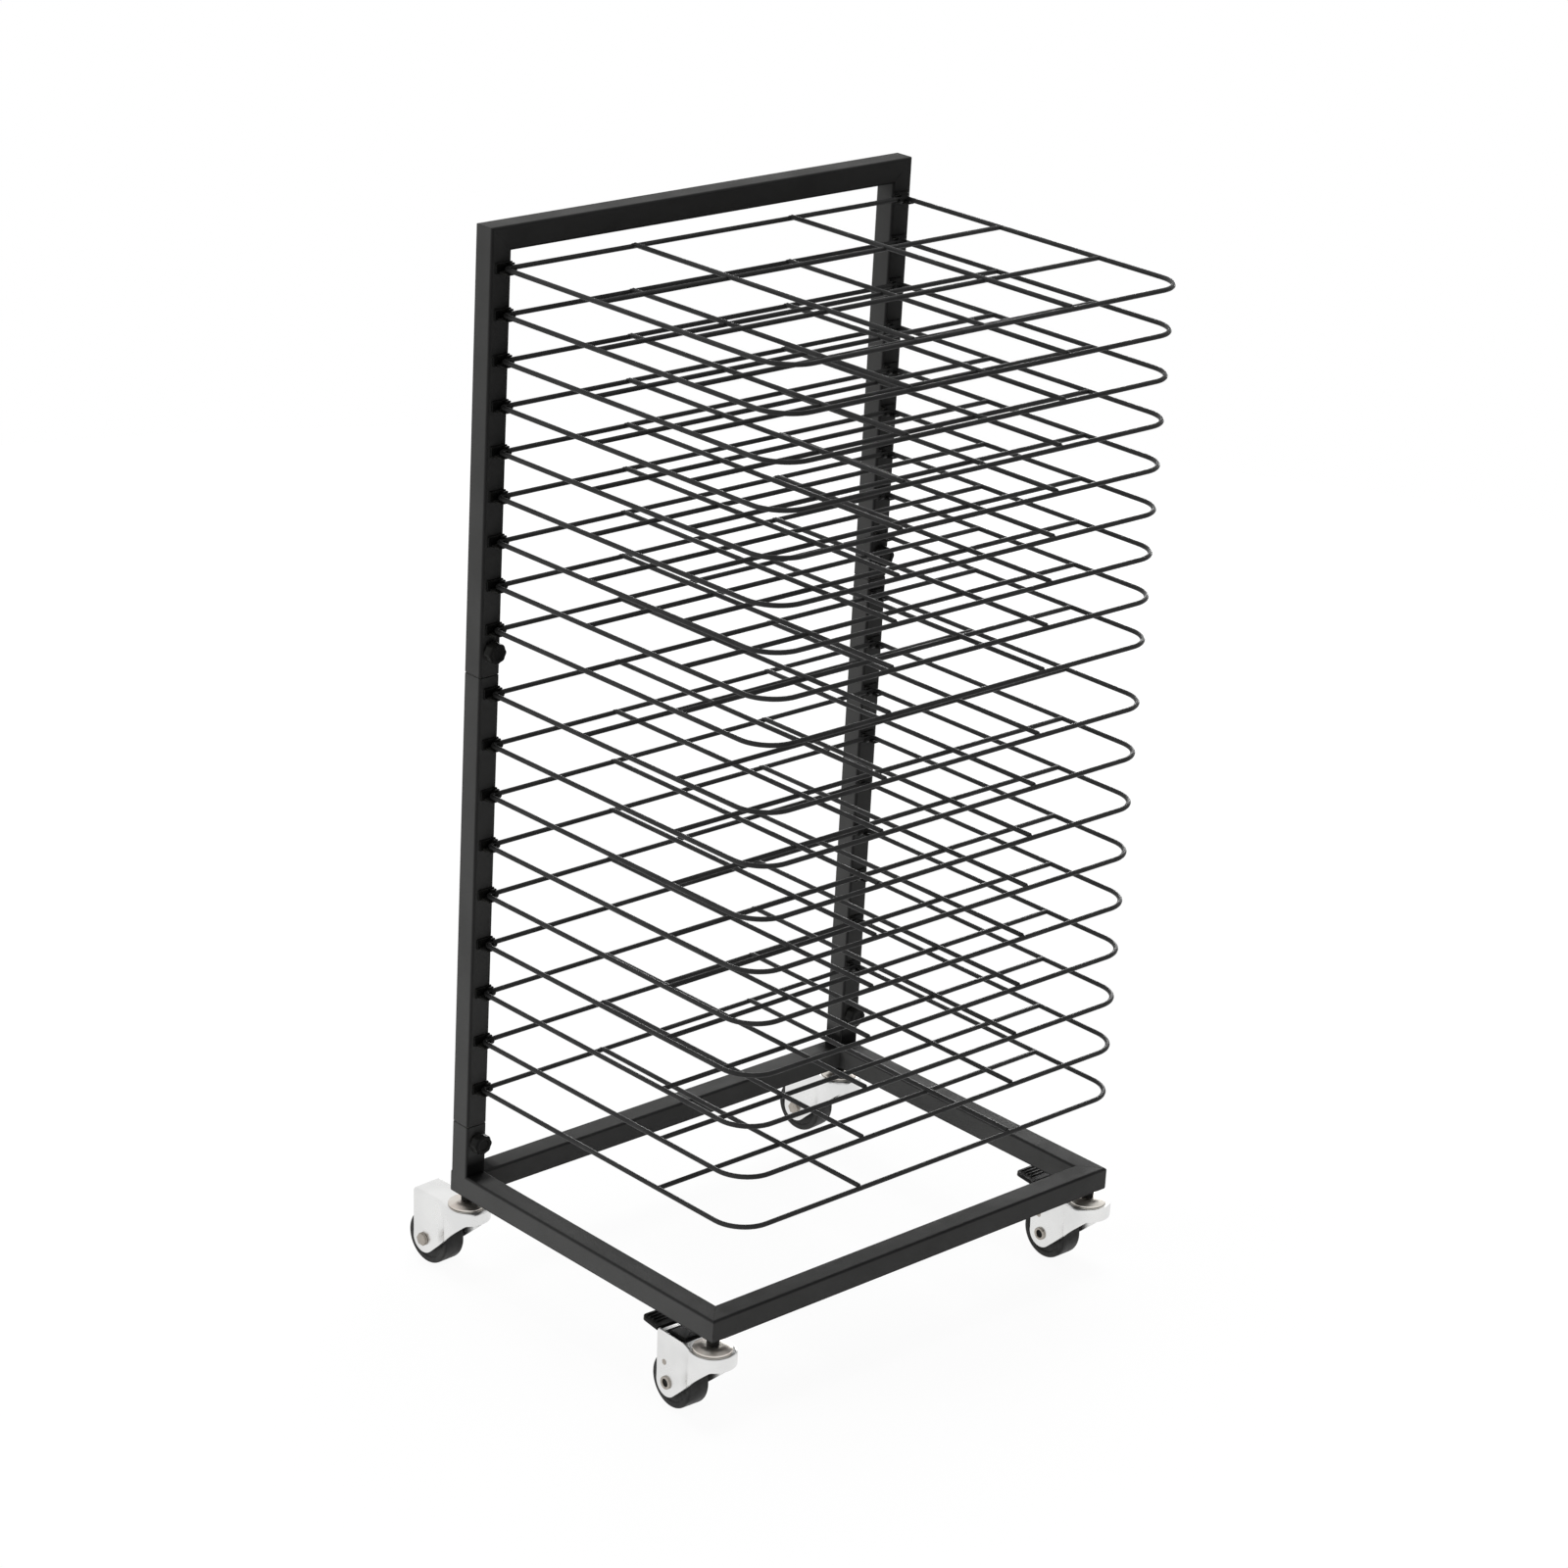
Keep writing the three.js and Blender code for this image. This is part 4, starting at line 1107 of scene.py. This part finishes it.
class RACK_OT_wheels(bpy.types.Operator):
    """Build the wheels and axles of the casters"""
    bl_idname = "drying_rack.wheels"
    bl_label = "Caster wheels and axles"

    def execute(self, context):
        sizes = settings().caster
        for caster in CASTERS:
            pivot, axes, hub = caster_frame(caster)
            wheel, axle = f"{caster}_caster_wheel", f"{caster}_caster_axle"
            centre = pivot + hub @ axes
            shape = wheel_surface(wheel_radius(caster), sizes)
            add_piece(f"{wheel}_tyre", moved(shape, centre, axes), "wheel_rubber", f"{caster}_wheel", [wheel])
            shape = axle_surface(caster in BRAKED, sizes)
            add_piece(f"{axle}_bolt", moved(shape, centre, axes), "zinc_steel", f"{caster}_swivel", [axle])
            if caster in BRAKED:
                # The thin black disc at the foot of each open bore is painted shade, standing in for the
                # shade inside the bore
                plug = domed_head(sizes.cheek, sizes.gap, sizes.axle_bore)
                add_piece(f"{axle}_bore", moved(combined(both_sides(plug)), centre, axes), "black_plastic",
                          f"{caster}_swivel", [axle])
        return {"FINISHED"}


# Brake pedals

def pedal_surface(pin, top, hub, radius, sizes, length):
    """The pedal in its caster's frame: a lever outline of (x, z) points carried along Y, a tab with round
    corners carried through its own thickness, and ridges across the tab. The shoe ends a gap from the
    wheel's radius, and length is the fork's."""
    back = pin[1] + sizes.thickness
    heel = sizes.tab_start + sizes.tab_thickness
    shoe_x = pin[0] + sizes.shoe_reach
    shoe_z = hub[2] + math.sqrt((radius + sizes.brake_gap) ** 2 - (shoe_x - hub[0]) ** 2)
    lever = [(sizes.lug_front, top + sizes.lug_rise), (sizes.lug_back, top + sizes.lug_rise),
             (sizes.lug_back + sizes.lug_slope, back), (length, back), (sizes.tab_start, top), (heel, top),
             (heel, back), (shoe_x, shoe_z), (pin[0], pin[1] - sizes.pin), (sizes.lug_front, pin[1])]
    lever = soften(lever, sizes.rounding, CORNER_STEPS // 2)
    parts = [prism(lever, -sizes.width / 2, sizes.width / 2, np.stack([X, Z, Y]))]
    slope = math.atan2(sizes.tab_rise, sizes.tab_length)
    uphill = math.cos(slope) * X + math.sin(slope) * Z
    axes = np.stack([uphill, Y, np.cross(uphill, Y)])
    reach, half = sizes.tab_length / math.cos(slope), sizes.tab_width / 2
    cuts = np.array([sizes.rounding, sizes.tab_corner, sizes.tab_corner, sizes.rounding])
    plan = soften([(0, -half), (reach, -half), (reach, half), (0, half)], cuts, CORNER_STEPS)
    tab = prism(plan, -sizes.tab_thickness, 0, axes)
    parts.append(moved(tab, (sizes.tab_start, 0, top)))
    bar = cross_bar(half - sizes.tab_corner, sizes.ridge)
    for distance in np.linspace(reach / 3, reach - sizes.tab_corner / 2, sizes.ridges):
        parts.append(moved(bar, np.array([sizes.tab_start, 0, top]) + distance * uphill))
    return combined(parts)


class RACK_OT_pedals(bpy.types.Operator):
    """Build the brake pedals of the front casters and their pins"""
    bl_idname = "drying_rack.pedals"
    bl_label = "Brake pedals"

    def execute(self, context):
        rack = settings()
        for caster in BRAKED:
            pivot, axes, hub = caster_frame(caster)
            node = f"{caster}_caster_pedal"
            pin = axes @ (joint_place(f"{caster}_pedal_press") - pivot)
            top = box(f"{caster}_caster_fork")[1][2] - pivot[2]
            shape = pedal_surface(pin[[0, 2]], top, hub, wheel_radius(caster), rack.pedal,
                                  rack.caster.length)
            piece = add_piece(f"{node}_lever", moved(shape, pivot, axes), "black_plastic",
                              f"{caster}_pedal", [node])
            round_edges(piece, rack.pedal.rounding)
            shape = cross_bar(rack.caster.cheek - rack.caster.sheet, rack.pedal.pin)
            add_piece(f"{node}_pin", moved(shape, pivot + pin @ axes, axes), "zinc_steel",
                      f"{caster}_pedal", [node])
        return {"FINISHED"}


# Stage

def shown(tree):
    """1 on rays that show the background: from the camera, off shiny metal, or through something clear."""
    path = add(tree, "ShaderNodeLightPath").outputs
    either = reckoned(tree, "MAXIMUM", path["Is Camera Ray"], path["Is Glossy Ray"])
    return reckoned(tree, "MAXIMUM", either, path["Is Transmission Ray"])


def floor_material(stage):
    """Pale matt floor that fades away from the rack. Where it is seen it glows white, a little less near the
    rack, where the diffuse part shows the shadow."""
    made = bpy.data.materials.new("rack_floor")
    made.use_nodes = True
    tree = made.node_tree
    tree.nodes.clear()
    away = add(tree, "ShaderNodeVectorMath", {0: place_on(tree)}, operation="LENGTH").outputs["Value"]
    far = spread(tree, away, stage.floor_near, stage.floor_fade)
    glow = add(tree, "ShaderNodeMapRange", {"Value": far, "To Min": stage.glow}).outputs["Result"]
    shade = add(tree, "ShaderNodeBsdfDiffuse", {"Color": opaque([stage.shadow] * 3)}).outputs["BSDF"]
    white = add(tree, "ShaderNodeEmission", {"Strength": glow}).outputs["Emission"]
    seen = add(tree, "ShaderNodeAddShader", {0: shade, 1: white}).outputs["Shader"]
    colour = blended(tree, far, opaque(stage.floor), opaque(stage.floor_far))
    plain = add(tree, "ShaderNodeBsdfDiffuse", {"Color": colour}).outputs["BSDF"]
    both = add(tree, "ShaderNodeMixShader", {0: shown(tree), 1: plain, 2: seen}).outputs["Shader"]
    add(tree, "ShaderNodeOutputMaterial", {"Surface": both})
    return made


def add_floor(stage):
    """A round flat floor under the rack."""
    mesh = bpy.data.meshes.new("floor")
    rim = stage.floor_radius * laid_flat(circle(TURN_STEPS))
    mesh.from_pydata(rim.tolist(), [], [list(range(TURN_STEPS))])
    mesh.materials.append(floor_material(stage))
    floor = bpy.data.objects.new("floor", mesh)
    bpy.context.scene.collection.objects.link(floor)


def add_world(stage):
    """Faint light from all round, and white where the background is seen."""
    world = bpy.data.worlds.new("Studio")
    world.use_nodes = True
    tree = world.node_tree
    tree.nodes.clear()
    dim = add(tree, "ShaderNodeBackground", {"Strength": stage.ambient}).outputs[0]
    white = add(tree, "ShaderNodeBackground", {"Strength": 1.0, "Color": opaque((1, 1, 1))}).outputs[0]
    both = add(tree, "ShaderNodeMixShader", {0: shown(tree), 1: dim, 2: white}).outputs[0]
    add(tree, "ShaderNodeOutputWorld", {"Surface": both})
    bpy.context.scene.world = world


def lamp(name, watts, width, depth, place, target, sheen=False):
    """A soft lamp aimed at a target. Only a lamp with sheen shows in shiny surfaces."""
    data = bpy.data.lights.new(name, "AREA")
    data.shape = "RECTANGLE"
    data.size = width
    data.size_y = depth
    data.energy = watts
    light = bpy.data.objects.new(name, data)
    light.location = place
    light.visible_camera = False
    light.visible_glossy = sheen
    light.rotation_euler = (Vector(target) - Vector(place)).to_track_quat("-Z", "Y").to_euler()
    bpy.context.scene.collection.objects.link(light)


def add_lamps(stage):
    """A broad lamp above, a tall one at the left, and two low ones for the base and the casters."""
    low, high = CAD_BOX
    middle = (low + high) / 2
    casters = (0.0, 0.0, 0.1)
    lamp("overhead", stage.overhead, width=7.0, depth=7.0, place=(0.5, 1.0, 12.0), target=middle)
    lamp("side", stage.side, width=2.4, depth=3.0, place=(-6.0, 1.5, 1.6), target=middle)
    lamp("low", stage.low, width=1.6, depth=0.8, place=(2.45, 1.52, 0.75), target=casters, sheen=True)
    lamp("front", stage.front, width=2.0, depth=0.3, place=(-0.3, -1.7, 0.3), target=casters)


def add_camera(stage):
    """The camera looks back along a direction given by azimuth and elevation, and is rolled about it."""
    back = np.array([math.sin(stage.azimuth) * math.cos(stage.elevation),
                     -math.cos(stage.azimuth) * math.cos(stage.elevation), math.sin(stage.elevation)])
    right = np.array([math.cos(stage.azimuth), math.sin(stage.azimuth), 0])
    up = np.cross(back, right)
    rolled = math.cos(stage.roll) * right + math.sin(stage.roll) * up
    data = bpy.data.cameras.new("Camera")
    data.lens = stage.lens
    camera = bpy.data.objects.new("Camera", data)
    axes = np.stack([rolled, np.cross(back, rolled), back], -1)
    camera.matrix_world = Matrix.Translation(stage.eye) @ Matrix(axes.tolist()).to_4x4()
    bpy.context.scene.collection.objects.link(camera)
    bpy.context.scene.camera = camera


class RACK_OT_stage(bpy.types.Operator):
    """Set the floor, the light and the camera"""
    bl_idname = "drying_rack.stage"
    bl_label = "Stage"

    def execute(self, context):
        stage = settings().stage
        context.scene.view_settings.view_transform = "Standard"
        add_floor(stage)
        add_world(stage)
        add_lamps(stage)
        add_camera(stage)
        return {"FINISHED"}


OPERATORS = (RACK_OT_tubes, RACK_OT_sleeves, RACK_OT_shelves, RACK_OT_clips, RACK_OT_knobs, RACK_OT_stems,
             RACK_OT_forks, RACK_OT_wheels, RACK_OT_pedals, RACK_OT_stage)
GROUPS = (TubeSettings, ShelfSettings, ClipSettings, KnobSettings, CasterSettings, PedalSettings,
          FinishSettings, StageSettings, RackSettings)


class RACK_PT_sidebar(bpy.types.Panel):
    """Drying rack: its settings and the pieces to build"""
    bl_idname = "RACK_PT_sidebar"
    bl_label = "Art drying rack"
    bl_space_type = "VIEW_3D"
    bl_region_type = "UI"
    bl_category = "Drying rack"

    def draw(self, context):
        rack = settings()
        for name in RackSettings.__annotations__:
            section = self.layout.box()
            section.label(text=name.capitalize())
            group = getattr(rack, name)
            for value in type(group).__annotations__:
                section.prop(group, value)
        for operator in OPERATORS:
            self.layout.operator(operator.bl_idname)


CLASSES = (*GROUPS, *OPERATORS, RACK_PT_sidebar)


def register():
    """Adds the classes and the rack's settings to Blender."""
    for made in CLASSES:
        bpy.utils.register_class(made)
    bpy.types.Scene.drying_rack = PointerProperty(type=RackSettings)


def unregister():
    """Takes the classes and the settings out of Blender again."""
    del bpy.types.Scene.drying_rack
    for made in reversed(CLASSES):
        bpy.utils.unregister_class(made)


def main():
    """Builds every piece and the stage."""
    register()
    for operator in OPERATORS:
        getattr(bpy.ops.drying_rack, operator.bl_idname.split(".")[1])()


if __name__ == "__main__":
    main()
